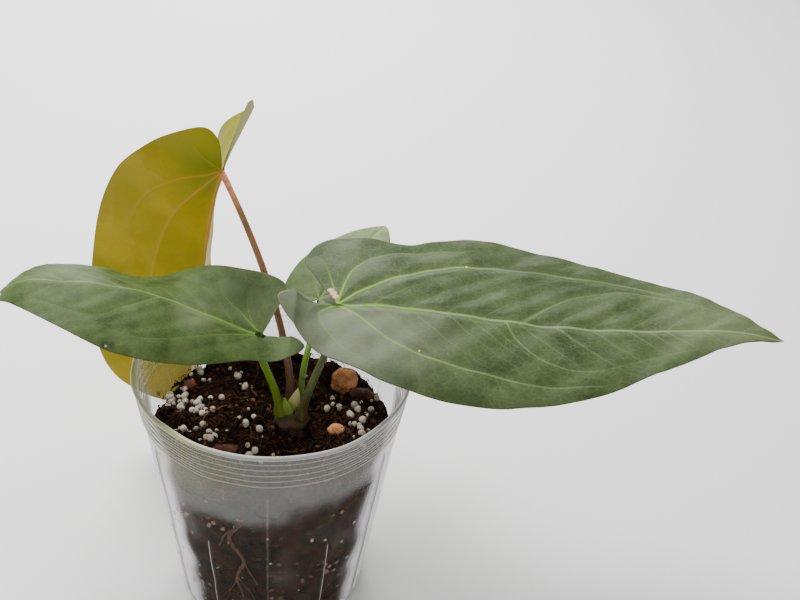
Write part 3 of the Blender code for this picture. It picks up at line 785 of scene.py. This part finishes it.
# %% Bending a flat leaf
def midrib(leaf):
    """Shares, places, directions, left sides and upper sides along a midrib from zero."""
    s = np.linspace(0, 1, 201)
    heading, climb, roll = (np.radians(smooth(leaf[key], s))
                            for key in ("heading", "climb", "roll"))
    ahead = np.stack([np.cos(climb) * np.cos(heading), np.cos(climb) * np.sin(heading),
                      np.sin(climb)], -1)
    level = np.stack([-np.sin(heading), np.cos(heading), 0 * s], -1)
    above = np.cross(ahead, level)
    left = level * np.cos(roll)[:, None] + above * np.sin(roll)[:, None]
    steps = (ahead[1:] + ahead[:-1]) / 2 * (leaf["length"] * MM / (len(s) - 1))
    places = np.concatenate(([np.zeros(3)], np.cumsum(steps, 0)))
    return s, places, ahead, left, np.cross(ahead, left)


def on_leaf(leaf, along, across, side):
    """Puts points of the flat leaf on the bent one; side is 1 for the left and -1."""
    s, *parts = midrib(leaf)
    near = np.clip(along, 0, 1)
    place, ahead, left, up = (
        np.stack([np.interp(near, s, column) for column in part.T], -1) for part in parts)
    length = leaf["length"] * MM
    which = 0 if side > 0 else 1
    behind = np.maximum(-along, 0)
    lift = np.radians(leaf["lobe_lift"][which]) * np.clip(behind / 0.1, 0, 1)
    place = place + length * behind[..., None] * (
        up * np.sin(lift)[..., None] - ahead * np.cos(lift)[..., None])
    fold = np.radians(smooth(leaf["fold"][which], near))
    curl = np.radians(leaf["curl"][which] or 0.1) / 0.3
    out = (np.sin(fold + curl * across) - np.sin(fold)) / curl
    rise = (np.cos(fold) - np.cos(fold + curl * across)) / curl
    return place + length * (side * left * out[..., None] + up * rise[..., None])


def leaf_joint(name, leaf):
    """Where a blade's midrib starts. The hanging one keeps off the pot and the table."""
    joint = crown_at + np.array(leaf["joint"]) * MM
    if name == "back":
        joint[1:] = BACK_JOINT_Y, BACK_TIP_HEIGHT - midrib(leaf)[1][-1][2]
    return joint


# %% [markdown]
# ## Leaves: the veins
# Main veins are curves on the flat leaf, each as (strength, points). Side veins leave the
# midrib at steps and sweep forward to the margin. A vein's height at a point is a bell of
# the distance to its curve.

# %% Main veins
VEINS = {
    "right": (
        (1.0, ((0, 0), (0.05, 0.05), (0.13, 0.10), (0.21, 0.14), (0.3, 0.168), (0.4, 0.175),
               (0.52, 0.168), (0.62, 0.158), (0.74, 0.12))),
        (0.8, ((0, 0), (0.01, 0.07), (0.03, 0.13), (0.08, 0.17), (0.17, 0.195), (0.3, 0.225))),
        (0.7, ((0.42, 0), (0.47, 0.05), (0.52, 0.09), (0.6, 0.12), (0.68, 0.12), (0.78, 0.09),
               (0.92, 0.03))),
        (0.9, ((0, 0), (0.06, -0.04), (0.12, -0.09), (0.2, -0.128), (0.29, -0.147),
               (0.38, -0.16), (0.48, -0.17), (0.6, -0.155))),
        (0.7, ((0, 0), (-0.035, -0.03), (-0.03, -0.06), (-0.005, -0.095), (0.03, -0.13),
               (0.09, -0.165))),
        (0.6, ((0, 0), (-0.05, -0.015), (-0.11, -0.06))),
        (0.6, ((0.38, 0), (0.41, -0.05), (0.46, -0.095), (0.53, -0.12), (0.6, -0.115),
               (0.7, -0.08), (0.82, -0.05))),
        (0.6, ((0, 0), (-0.015, 0.06), (-0.04, 0.13), (-0.06, 0.16)))),
    "left": (
        (0.9, ((0, 0), (0.05, -0.03), (0.09, -0.055), (0.13, -0.075), (0.17, -0.10),
               (0.2, -0.15))),
        (0.7, ((0, 0), (0.05, -0.04), (0.08, -0.1), (0.09, -0.16))),
        (0.6, ((0, 0), (0.07, 0.025), (0.16, 0.07), (0.24, 0.12), (0.33, 0.165), (0.42, 0.185),
               (0.52, 0.175), (0.6, 0.15))),
        (0.5, ((0, 0), (0.05, 0.04), (0.09, 0.08), (0.17, 0.13), (0.24, 0.19))),
        (0.7, ((0.37, 0), (0.43, 0.05), (0.49, 0.09), (0.56, 0.135), (0.65, 0.13),
               (0.78, 0.09))),
        (0.6, ((0.5, 0), (0.58, -0.05), (0.68, -0.1), (0.8, -0.09), (0.9, -0.04)))),
    "small": (
        (0.8, ((0, 0), (0.12, 0.1), (0.3, 0.19), (0.5, 0.19), (0.75, 0.11))),
        (0.8, ((0, 0), (0.12, -0.1), (0.3, -0.19), (0.5, -0.19), (0.75, -0.11))),
        (0.6, ((0, 0), (-0.03, 0.1), (0.0, 0.2), (0.1, 0.26))),
        (0.6, ((0, 0), (-0.03, -0.1), (0.0, -0.2), (0.1, -0.26)))),
    "back": (
        (1.0, ((0, 0), (0.03, 0.04), (0.055, 0.09), (0.09, 0.13), (0.13, 0.165),
               (0.18, 0.19), (0.28, 0.215))),
        (1.0, ((0, 0), (0.07, 0.03), (0.13, 0.06), (0.19, 0.09), (0.26, 0.112), (0.34, 0.127),
               (0.45, 0.137), (0.6, 0.14), (0.8, 0.11))),
        (0.5, ((0.09, 0.13), (0.06, 0.16), (0.05, 0.19), (0.0, 0.205))),
        (0.6, ((0, 0), (-0.04, 0.05), (-0.09, 0.09))),
        (0.5, ((0.1, 0.27), (0.3, 0.255), (0.5, 0.262), (0.7, 0.24), (0.88, 0.17))),
        (0.8, ((0, 0), (0.1, -0.08), (0.25, -0.14), (0.5, -0.16), (0.8, -0.11)))),
}


SWEEP = ((0, 0), (0.12, 0.1), (0.25, 0.19), (0.41, 0.27), (0.6, 0.33))


def side_veins(first, count, side, strength=0.45):
    """Veins that leave the midrib at equal steps and sweep forward towards the margin."""
    veins = []
    for share in np.linspace(first, 0.9, count):
        reach = 0.6 * (1 - share) ** 0.5 + 0.12
        veins.append((strength, [(share + reach * forward, side * reach * out)
                                 for forward, out in SWEEP]))
    return veins


def all_veins(name, first, count, strength=0.45):
    """A leaf's main veins, and side veins on both sides."""
    return (list(VEINS[name]) + side_veins(first, count, 1, strength)
            + side_veins(first, count, -1, strength))


def branches(vein, starts, side):
    """Lesser veins that leave a main vein outwards and forwards."""
    strength, points = vein
    course = smooth(points, np.linspace(0, 1, 41))
    ways = unit(np.gradient(course, axis=0))
    made = []
    for start in starts:
        at, way = course[int(40 * start)], ways[int(40 * start)]
        out = np.array((-way[1], way[0])) * side
        steps = [(0, 0), (0.02, 0.03), (0.045, 0.06), (0.08, 0.09)]
        made.append((0.45 * strength, [at + way * f + out * o for f, o in steps]))
    return made


# %% [markdown]
# `near_veins` measures, for each point of a flat leaf, how far off each curve is, and
# keeps the strongest bell. It works on the whole grid at once for each vein.

# %% Distance to veins
def near_veins(flat, veins, width):
    """The strongest bell of the distance from the points flat[..., 2] to any vein."""
    best = np.zeros(flat.shape[:-1])
    for strength, points in veins:
        course = smooth(points, np.linspace(0, 1, 22))
        fade = strength * np.linspace(1.15, 0.55, 21)
        here = np.zeros(flat.shape[:-1])
        for start, end, share in zip(course[:-1], course[1:], fade):
            way = end - start
            t = np.clip(((flat - start) @ way) / (way @ way), 0, 1)
            gap = np.hypot(*np.moveaxis(flat - start - t[..., None] * way, -1, 0))
            here = np.maximum(here, share * bell(gap, width))
        best = np.maximum(best, here)
    return best


# %% [markdown]
# ## Leaves: the blades
# Rows of points run from the midrib to the margin on both sides, on the upper skin and
# back on the lower one. The blade is about 0.5 mm thick and thins out to its margin. The
# tissue swells between veins, the veins lie a little sunk on top and stand out below,
# and the margin waves slowly.

# %% Grids of points on a leaf
def outline(points, rows):
    """A margin from the joint, through points, to the tip."""
    return smooth(((0, 0), *points, (1, 0)), np.linspace(0, 1, rows))


def leaf_grid(leaf, rows, half):
    """Points from margin to margin in each row: bent, flat, and as shares of the half width."""
    share = np.linspace(0, 1, half + 1)[None]
    spine = np.linspace(0, 1, rows)[:, None] ** 1.5
    sides = []
    for side, key in ((1, "left"), (-1, "right")):
        edge = outline(leaf[key], rows)
        along = spine * (1 - share) + edge[:, :1] * share
        across = edge[:, 1:] * share
        place = on_leaf(leaf, along, across, side)
        flat = np.stack([along, side * across], -1)
        sides.append((place, flat, share + 0 * along))
    place, flat, share = (np.concatenate((a[:, :0:-1], b), 1) for a, b in zip(*sides))
    return spine, place, flat, share


def normals(place):
    """Unit normals of a grid of points; the two end rows take their neighbours' ones."""
    normal = np.cross(np.gradient(place, axis=1), np.gradient(place, axis=0))
    normal[0], normal[-1] = normal[1], normal[-2]
    return unit(normal)


def round_trip(upper, lower):
    """Rings that run over the upper skin and back along the lower one."""
    return np.concatenate((upper, lower[:, -2:0:-1]), 1)[None]


# %% [markdown]
# `make_blade` lays out the grid, measures the veins on it, raises and sinks the blade
# along its normals, and gives it two skins.

# %% Blades
THICKNESS = 0.5 * MM
VEIN_WIDTH, HALO_WIDTH = 0.0032, 0.017


def make_blade(name, rows, half, veins, swell, wave):
    """A closed blade with its veins, painted with what its look needs."""
    leaf = LEAVES[name]
    spine, place, flat, share = leaf_grid(leaf, rows, half)
    length = leaf["length"] * MM
    ribs = ((1.3, ((0, 0), (0.35, 0), (0.7, 0), (1, 0))),)
    vein = near_veins(flat, ribs + tuple(veins), VEIN_WIDTH)
    halo = near_veins(flat, ribs + tuple(veins), HALO_WIDTH)
    spots = np.concatenate((flat * length, 0 * flat[..., :1]), -1)
    normal = normals(place)
    middle = normal[rows // 2, half]
    normal = normal * np.sign(middle @ midrib(leaf)[4][100])
    relief = -swell * halo + 0.3 * swell * waves(spots, 16 * MM, 51)
    relief = relief + wave * waves(spots, 30 * MM, 52) * share ** 3 * step(flat[..., 0], 1, 0.8)
    ends = step(spine, 0, 0.02) * step(spine, 1, 0.98)
    relief = relief * ends
    place = place + leaf_joint(name, leaf) + normal * relief[..., None]
    thick = THICKNESS / 2 * (1 - share ** 10) * ends
    stand = 0.35 * MM * vein * ends
    top = place + normal * (thick - 0.1 * stand)[..., None]
    under = place - normal * (thick + stand * (1 - share ** 10))[..., None]

    point = np.concatenate((flat, 0 * flat[..., :1]), -1)
    return solids("blade_" + name, round_trip(top, under), vein=round_trip(vein, vein),
                  halo=round_trip(halo, halo), flat=round_trip(point, point),
                  edge=round_trip(share, share),
                  upper=round_trip(np.ones_like(vein), np.zeros_like(vein)))


# %% [markdown]
# The blade's look reads the painted values: pale veins with a wide soft halo, darker
# tissue between them, a faint net of the finest veins, pale dust, a pale layer on the near lobe that
# is a painted sheen, and a thin margin line.
# The joint end of every main vein is a brighter yellow-green. The underside is paler. Specks
# are round spots on the flat leaf, from wide pale or dark washes to a pink scar by the joint. The
# dark washes along the right leaf's near margin are painted shade, and a small blue-grey speck on
# the left leaf's wet patch is a painted highlight.

# %% Blade look
def add_dust_and_sheen(look, flat, colour, dust_and_sheen):
    """Adds a painted sheen as a pale layer on the near lobe, and fine pale scuffs that are strongest
    round the joint.
    """
    lobes = look.between(look.far_from(flat), 0.36, 0.12)
    # Painted sheen: a pale grey-green layer over the near lobe.
    painted_sheen = look.times(lobes, look.between(look.split(flat)[1], 0.02, -0.05, 0, dust_and_sheen))
    colour = look.mix(painted_sheen, colour, (0.20, 0.215, 0.150))
    scuff = look.between(look.noise(40, 9, flat, 0.8), 0.55, 0.75, 0, 0.6 * dust_and_sheen)
    return look.mix(look.times(scuff, look.maths("MAXIMUM", lobes, 0.2)), colour,
                    (0.22, 0.25, 0.18))


def blade_look(name, deep, pale, rib, bright, under, dust_and_sheen, glow=None, specks=()):
    """A leaf's look, with colours as linear red, green and blue.

    A speck is (along, across, size, solid share of the size, strength, colour).
    """
    look = Look(name, roughness=0.55, Specular_IOR_Level=0.15)
    vein, halo = look.painted("vein"), look.painted("halo")
    flat = look.where(painted="flat")
    cloud = look.noise(9, 5, flat, 0.6)
    fine = look.noise(60, 4, flat)
    middle = tuple(0.45 * a + 0.55 * b for a, b in zip(deep, pale))
    tissue = look.mix(look.between(cloud, 0.30, 0.62), deep, middle)
    tissue = look.mix(look.between(halo, 0.1, 0.9, 0, 0.32), tissue, pale)
    net = look.between(look.cells(55, look.where((1, 1.6, 1), "flat"), "DISTANCE_TO_EDGE"),
                       0.09, 0.0, 0, 0.13)
    tissue = look.mix(net, tissue, rib)
    tissue = look.mix(look.between(fine, 0.35, 0.75, 0, 0.25), tissue, deep)
    joint = look.between(look.far_from(flat), 0.5, 0.03)
    line = look.mix(joint, rib, bright)
    colour = look.mix(look.between(vein, 0.22, 0.8, 0, 0.85), tissue, line)
    colour = add_dust_and_sheen(look, flat, colour, dust_and_sheen)
    for along, across, size, core, share, tint in specks:
        away = look.far_from(flat, (along, across, 0))
        colour = look.mix(look.between(away, size, core * size, 0, share), colour, tint)
    below = look.mix(look.between(cloud, 0.35, 0.65), under, tuple(0.7 * c for c in under))
    below = look.mix(look.between(vein, 0.2, 0.9), below, rib)
    colour = look.mix(look.painted("upper"), below, colour)
    rim = look.between(look.painted("edge"), 0.985, 1.0, 0, 0.5)
    colour = look.mix(rim, colour, (0.20, 0.16, 0.06))
    look.set("Base Color", colour)
    if glow:
        look.through(glow, colour)
    look.bump(look.maths("ADD", look.noise(140, 3, flat), look.times(net, -0.8)), 0.18 * MM, 0.5)
    return look


PINK, STRAW, LIME = (0.62, 0.34, 0.25), (0.55, 0.46, 0.32), (0.50, 0.48, 0.06)
PALE_WASH, DARK_PATCH_AND_SHADE = (0.21, 0.25, 0.13), (0.020, 0.036, 0.006)
# Painted shade: the three dark washes at across -0.22 to -0.25 lie on the right leaf's near margin,
# where it curves down.
RIGHT_SPECKS = (
    (0.85, 0.03, 0.20, 0.1, 0.35, PALE_WASH), (0.30, -0.25, 0.09, 0.2, 0.70, DARK_PATCH_AND_SHADE),
    (0.16, -0.22, 0.07, 0.2, 0.60, DARK_PATCH_AND_SHADE), (0.46, -0.25, 0.09, 0.2, 0.50, DARK_PATCH_AND_SHADE),
    (0.42, 0.20, 0.12, 0.2, 0.40, DARK_PATCH_AND_SHADE), (0.62, 0.16, 0.10, 0.2, 0.35, DARK_PATCH_AND_SHADE),
    (-0.006, 0.024, 0.009, 0.5, 1, PINK), (-0.012, 0.035, 0.010, 0.5, 1, PINK),
    (-0.020, 0.047, 0.009, 0.5, 1, PINK), (0.28, 0.165, 0.004, 0.6, 1, LIME),
    (0.20, -0.12, 0.003, 0.6, 1, LIME))
# On the left leaf the two dark specks near (0.5, 0.235) are a wet patch, and the small blue-grey
# speck on it is a painted highlight of the wet surface.
LEFT_SPECKS = (
    (0.25, 0.03, 0.10, 0.1, 0.40, PALE_WASH), (0.12, -0.12, 0.12, 0.2, 0.45, DARK_PATCH_AND_SHADE),
    (0.97, 0.01, 0.013, 0.6, 1, STRAW), (0.99, 0.03, 0.010, 0.6, 1, STRAW),
    (0.94, 0.02, 0.008, 0.6, 1, STRAW), (0.485, 0.232, 0.016, 0.5, 0.8, DARK_PATCH_AND_SHADE),
    (0.510, 0.236, 0.018, 0.5, 0.8, DARK_PATCH_AND_SHADE), (0.505, 0.240, 0.006, 0.5, 0.6, (0.32, 0.40, 0.44)))
right_look = blade_look("leaf_velvet_right", (0.020, 0.036, 0.006), (0.088, 0.126, 0.042),
                        (0.20, 0.26, 0.12), (0.17, 0.32, 0.02), (0.12, 0.16, 0.06), 0.5,
                        specks=RIGHT_SPECKS)
left_look = blade_look("leaf_velvet_left", (0.028, 0.052, 0.008), (0.098, 0.142, 0.042),
                       (0.16, 0.23, 0.07), (0.12, 0.28, 0.02), (0.12, 0.16, 0.06), 0.15,
                       specks=LEFT_SPECKS)
small_look = blade_look("leaf_pale", (0.09, 0.14, 0.040), (0.19, 0.25, 0.10), (0.25, 0.34, 0.13),
                        (0.22, 0.40, 0.05), (0.16, 0.24, 0.08), 0.2)
right_veins = all_veins("right", 0.08, 11) + side_veins(0.09, 5, -1)
right_veins += branches(VEINS["right"][0], (0.25, 0.45, 0.6, 0.75, 0.9), 1)
right_veins += branches(VEINS["right"][3], (0.25, 0.4, 0.55, 0.7, 0.85), -1)
left_veins = all_veins("left", 0.1, 9)
small_veins = all_veins("small", 0.15, 6)
right_blade = make_blade("right", 280, 80, right_veins, 0.8 * MM, 0.5 * MM)
settle(right_blade, right_look, "leaf_velvet", "leaf_blade_right")
left_blade = make_blade("left", 220, 70, left_veins, 0.5 * MM, 0.35 * MM)
settle(left_blade, left_look, "leaf_velvet", "leaf_blade_left")
small_blade = make_blade("small", 110, 40, small_veins, 0.25 * MM, 0.2 * MM)
settle(small_blade, small_look, "leaf_pale", "leaf_blade_small")

# %% [markdown]
# The hanging leaf shows its underside: olive gold with peach-coloured veins, greener by
# the joint. The pale cream streaks on the right of the midrib, where that half is seen edge-on, are
# a painted sheen. Light shines through it.

# %% Hanging leaf
def golden_look():
    look = Look("leaf_golden", roughness=0.5, Specular_IOR_Level=0.2)
    vein, halo = look.painted("vein"), look.painted("halo")
    flat = look.where(painted="flat")
    cloud = look.noise(6, 5, flat)
    tissue = look.mix(look.between(cloud, 0.35, 0.65), (0.40, 0.32, 0.001), (0.50, 0.38, 0.002))
    net = look.between(look.cells(26, flat, "DISTANCE_TO_EDGE"), 0.05, 0.0, 0, 0.3)
    tissue = look.mix(net, tissue, (0.44, 0.22, 0.01))
    near = look.between(look.far_from(flat), 0.17, 0.04, 0, 0.75)
    tissue = look.mix(near, tissue, (0.19, 0.26, 0.004))
    along, across, _ = look.split(flat)
    lobe = look.between(along, 0.0, -0.12, 0, 0.55)
    tissue = look.mix(lobe, tissue, (0.32, 0.34, 0.04))
    tissue = look.mix(look.between(halo, 0.3, 1.1, 0, 0.3), tissue, (0.56, 0.36, 0.02))
    colour = look.mix(look.between(vein, 0.25, 1.0, 0, 0.85), tissue, (0.66, 0.34, 0.06))
    # Painted sheen: pale streaks on the half right of the midrib, which is seen edge-on.
    half = look.times(look.between(across, -0.003, -0.02),
                      look.between(across, -0.26, -0.10, 0.15, 1))
    streaks = look.noise(9, 3, look.where((0.4, 6, 1), "flat"))
    grazing_sheen = look.mix(look.between(streaks, 0.35, 0.65), (0.85, 0.74, 0.42), (0.66, 0.52, 0.16))
    front = look.between(along, -0.06, 0.12)
    colour = look.mix(look.times(half, front), colour, grazing_sheen)
    rim = look.between(look.painted("edge"), 0.985, 1.0, 0, 0.8)
    colour = look.mix(rim, colour, (0.50, 0.22, 0.14))
    top = look.mix(look.between(cloud, 0.35, 0.65), (0.26, 0.27, 0.008), (0.34, 0.33, 0.010))
    top = look.mix(look.between(vein, 0.3, 0.95), top, (0.44, 0.40, 0.12))
    colour = look.mix(look.painted("upper"), colour, top)
    look.set("Base Color", colour)
    look.through(0.4, colour)
    look.bump(look.noise(110, 3, flat), 0.2 * MM, 0.5)
    return look


back_veins = all_veins("back", 0.12, 8, 0.25)
back_blade = make_blade("back", 240, 80, back_veins, 0.3 * MM, 0.3 * MM)
settle(back_blade, golden_look(), "leaf_golden", "leaf_blade_back")


# %% [markdown]
# ## Stalks
# Each stalk leaves the crown and meets its blade from below, along a cubic curve. It is
# thicker at its foot and has a slightly swollen bend below the blade. Its colour is
# painted from foot to top.

# %% Stalks
STALK_STEPS, STALK_SIDES = 90, 28
FOOT_SINK, BLADE_GAP = 1 * MM, 1.4 * MM


def make_stalk(name):
    """A stalk from the crown to its blade, painted with its share of the way up."""
    leaf = LEAVES[name]
    joint = leaf_joint(name, leaf)
    rise, lean, reach, sway, share = leaf["stalk"]
    up = midrib(leaf)[4][0]
    turn = math.radians(leaf["base_turn"])
    foot = crown_at + (STALK_CIRCLE * math.cos(turn), STALK_CIRCLE * math.sin(turn),
                       CROWN_TOP - FOOT_SINK)
    out = np.array((math.cos(turn), math.sin(turn), 0))
    route = bend(foot, np.array((0, 0, rise * MM + FOOT_SINK)) + out * lean * MM,
                 joint - up * BLADE_GAP, (up * reach - (sway, 0, 0)) * MM, STALK_STEPS)
    t = np.linspace(0, 1, STALK_STEPS)
    radii = STALK_RADIUS * share * (1 - 0.25 * t) * (1 + 0.75 * bell(t, 0.07)
                                                      + 0.16 * bell(t - 0.95, 0.05))
    rings = tube_rings(route[None], radii[None], STALK_SIDES)
    lift = np.concatenate(([0], t, [1]))[None, :, None] + np.zeros(rings.shape[:3])
    return solids("stalk_" + name, rings, lift=lift)


def stalk_look(name, foot, middle, top, blush):
    look = Look(name, roughness=0.38, Specular_IOR_Level=0.45)
    lift = look.painted("lift")
    colour = look.mix(look.between(lift, 0.02, 0.35), foot, middle)
    colour = look.mix(look.between(lift, 0.72, 0.96), colour, top)
    grain = look.noise(500, 3, look.where((1, 1, 0.12)))
    colour = look.mix(look.between(grain, 0.45, 0.7, 0, 0.5), colour, blush)
    look.set("Base Color", colour)
    look.bump(grain, 0.1 * MM, 0.4)
    return look


STALK_LOOKS = {
    "left": ("stalk_green", (0.14, 0.16, 0.010), (0.13, 0.24, 0.008), (0.10, 0.22, 0.01),
             (0.11, 0.18, 0.01)),
    "right": ("stalk_green", (0.055, 0.040, 0.008), (0.055, 0.080, 0.008), (0.09, 0.13, 0.015),
              (0.13, 0.14, 0.02)),
    "small": ("stalk_green", (0.080, 0.11, 0.01), (0.13, 0.26, 0.012), (0.18, 0.33, 0.02),
              (0.17, 0.28, 0.02)),
    "back": ("stalk_coppery", (0.09, 0.035, 0.016), (0.22, 0.095, 0.025), (0.85, 0.30, 0.14),
             (0.11, 0.060, 0.015)),
}
for name, (slot, *colours) in STALK_LOOKS.items():
    settle(make_stalk(name), stalk_look("stalk_" + name, *colours), slot, "petiole_" + name)


# %% [markdown]
# ## Crown and sheaths
# The crown is a knobbly short stem, olive above and dark below, with ring scars where
# older leaves stood. Two papery sheaths stand in it, one green and one pale.

# %% Crown
def make_crown():
    """A turned stem with scars round it and soft knobs."""
    low, high = crown_low[2], crown_high[2]
    wide = (crown_high[0] - crown_low[0]) / 2
    share = np.linspace(0, 1, 80)[:, None]
    turn = np.linspace(0, 2 * np.pi, 72, endpoint=False)
    height = low + (high - low) * share
    radius = wide * np.minimum(0.72 + 0.5 * share, 0.97) * step(share, -0.02, 0.05)
    radius = radius * np.sqrt(np.clip(1 - (np.maximum(share - 0.8, 0) / 0.205) ** 2, 0, 1))
    scars = 0.03 * np.sin(share * 34 + 1.5 * np.sin(turn)) * step(share, 0.3, 0.5)
    radius = radius * (1 + scars)
    rings = np.stack([crown_at[0] + radius * np.cos(turn), crown_at[1] + radius * np.sin(turn),
                      height + 0 * turn], -1)
    lumps = 1 + 0.05 * waves(rings, 7 * MM, 61)
    rings[..., :2] = crown_at[:2] + (rings[..., :2] - crown_at[:2]) * lumps[..., None]
    rings[0], rings[-1] = rings[0].mean(0), rings[-1].mean(0)
    return solids("crown", rings[None], lift=(share + 0 * turn)[None])


def crown_look():
    look = Look("crown", roughness=0.6)
    lift = look.painted("lift")
    colour = look.mix(look.between(lift, 0.62, 0.95), (0.014, 0.008, 0.004), (0.060, 0.045, 0.010))
    patch = look.between(look.noise(260, 4), 0.45, 0.65, 0, 0.8)
    colour = look.mix(patch, colour, (0.075, 0.026, 0.010))
    look.set("Base Color", colour)
    look.bump(look.noise(700, 4), 0.4 * MM)
    return look


settle(make_crown(), crown_look(), "crown", "root_crown")

# %% Sheaths
SHEATHS = {
    "cataphyll_green": dict(foot=(-0.9, -2.6), length=9, heading=(180, 180), climb=(72, 84),
                            roll=(-90, -90)),
    "cataphyll_pale": dict(foot=(-0.2, 0.0), length=12, heading=(0, 0), climb=(74, 82),
                           roll=(90, 90)),
}
SHEATH_ROWS, SHEATH_GAP, SHEATH_THICKNESS = 60, 0.4 * MM, 0.44 * MM
SHEATH_OUTLINE = ((0.02, 0.2), (0.15, 0.24), (0.4, 0.2), (0.7, 0.12), (0.9, 0.05))


def make_sheath(name, sheath):
    """A thin pointed sheath, bent as a leaf is and hollow towards the stalks."""
    leaf = dict(sheath, fold=((0, 0), (0, 0)), curl=(-30, -30), lobe_lift=(0, 0),
                left=SHEATH_OUTLINE, right=SHEATH_OUTLINE)
    _, place, _, share = leaf_grid(leaf, SHEATH_ROWS, 20)
    place += crown_at + np.array((*sheath["foot"], 0)) * MM + (0, 0, CROWN_TOP + SHEATH_GAP)
    thick = SHEATH_THICKNESS / 2 * (1 - share ** 8)[..., None] * normals(place)
    rings = round_trip(place + thick, place - thick)
    lift = np.linspace(0, 1, SHEATH_ROWS)[None, :, None] + np.zeros(rings.shape[:3])
    return solids(name + "_fine", rings, lift=lift)


def sheath_look(name, foot, tip):
    look = Look(name, roughness=0.5)
    look.set("Base Color", look.mix(look.between(look.painted("lift"), 0.1, 0.9), foot, tip))
    look.bump(look.noise(900, 3, look.where((1, 1, 0.1))), 0.1 * MM, 0.4)
    return look


sheath_looks = {
    "cataphyll_green": sheath_look("sheath_green", (0.16, 0.26, 0.03), (0.24, 0.38, 0.05)),
    "cataphyll_pale": sheath_look("sheath_pale", (0.46, 0.44, 0.12), (0.62, 0.60, 0.25))}
for name, sheath in SHEATHS.items():
    settle(make_sheath(name, sheath), sheath_looks[name], "sheath", name)


# %% [markdown]
# ## Roots
# The three packed roots inside the medium keep their shape under a rough tan skin. The
# one against the wall is made finer: a crooked brown root with thin side roots that
# follow the wall.

# %% Roots
def root_look(name, light, dark):
    look = Look(name, roughness=0.7)
    look.set("Base Color", look.mix(look.between(look.noise(300, 4), 0.38, 0.66), dark, light))
    look.bump(look.noise(900, 3), 0.2 * MM)
    return look


WALL_ROOTS = ((0, 0, 1, 0.9), (0.08, -0.5, 0.25, 0.4), (0.3, 0.45, 0.4, 0.45),
              (0.5, -0.4, 0.35, 0.35), (0.62, 0.5, 0.3, 0.3))


def make_wall_roots():
    """A root down the wall and side roots, each by its start, way out, length and radius."""
    low, high = (np.array(corner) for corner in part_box("root_wall"))
    foot = np.arctan2(low[1], (low[0] + high[0]) / 2 - 8 * MM)
    share = np.linspace(0, 1, 40)
    rng = np.random.default_rng(71)
    paths, radii = [], []
    top, reach = soil - 12 * MM, soil - 26 * MM
    for start, way, length, thick in WALL_ROOTS:
        fall = start + share * length
        crook = 0.05 * waves(np.stack([fall, fall * 0, fall * 0 + length], -1), 0.45, 72)
        turn = foot + crook * (1 - 0.4 * share) + way * 0.32 * share ** 1.3
        height = top - reach * fall
        near = wall_radius(height) - WALL - (0.35 + 0.4 * thick) * MM
        paths.append(np.stack([near * np.cos(turn), near * np.sin(turn), height], -1))
        radii.append(thick * MM * (1 - 0.55 * share) * (1 + 0.1 * rng.normal(size=1)))
    return solids("wall_roots", tube_rings(np.array(paths), np.array(radii), 10))


tan_root = root_look("root", (0.42, 0.28, 0.15), (0.24, 0.13, 0.06))
for name in ("root_front", "root_left", "root_right"):
    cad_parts[name].data.materials.clear()
    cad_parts[name].data.materials.append(tan_root.material)
brown_root = root_look("brown_root", (0.12, 0.045, 0.016), (0.035, 0.014, 0.007))
settle(make_wall_roots(), brown_root, "root", "root_wall")


# %% [markdown]
# ## Floor, light and camera
# A plain pale floor, a bright even surround, a broad soft light above on the left, and a
# weaker one behind that shines through the hanging leaf.

# %% Stage
def aim(thing, place, target):
    """Puts a thing at a place, looking at a target."""
    thing.location = place
    thing.rotation_euler = (Vector(target) - Vector(place)).to_track_quat("-Z", "Y").to_euler()


floor = mesh_object("floor", np.array([(-3, -3, 0), (3, -3, 0), (3, 3, 0), (-3, 3, 0)], float),
                    np.zeros((0, 3), int), np.array([(0, 1, 2, 3)]), {})
floor.data.materials.append(Look("floor", roughness=0.9, Base_Color=(0.86, 0.86, 0.86)).material)
world = bpy.data.worlds.new("surround")
world.use_nodes = True
world.node_tree.nodes["Background"].inputs["Color"].default_value = (1, 1, 1, 1)
world.node_tree.nodes["Background"].inputs["Strength"].default_value = 0.75
bpy.context.scene.world = world
for name, place, size, watts in (("key", (-0.30, 0.25, 0.85), 0.35, 11),
                                 ("back", (-0.10, 0.75, 0.45), 0.5, 7)):
    light = bpy.data.lights.new(name, "AREA")
    light.size = size
    light.energy = watts
    lamp = bpy.data.objects.new(name, light)
    bpy.context.scene.collection.objects.link(lamp)
    aim(lamp, place, (0.02, 0, 0.09))

# %% Camera
CAMERA_PLACE = 0.0477, -0.4322, HEIGHT + 0.3401
LENS, SENSOR = 63, 36
camera_data = bpy.data.cameras.new("camera")
camera_data.lens, camera_data.sensor_width = LENS, SENSOR
camera = bpy.data.objects.new("camera", camera_data)
bpy.context.scene.collection.objects.link(camera)
pitch, tilt = math.radians(35.2), math.radians(4)
forward = Vector((0, math.cos(pitch), -math.sin(pitch)))
level_up = Vector((0, math.sin(pitch), math.cos(pitch)))
right = Vector((1, 0, 0)) * math.cos(tilt) + level_up * math.sin(tilt)
up = -Vector((1, 0, 0)) * math.sin(tilt) + level_up * math.cos(tilt)
facing = Matrix((right, up, -forward)).transposed().to_4x4()
camera.matrix_world = Matrix.Translation(CAMERA_PLACE) @ facing
bpy.context.scene.camera = camera
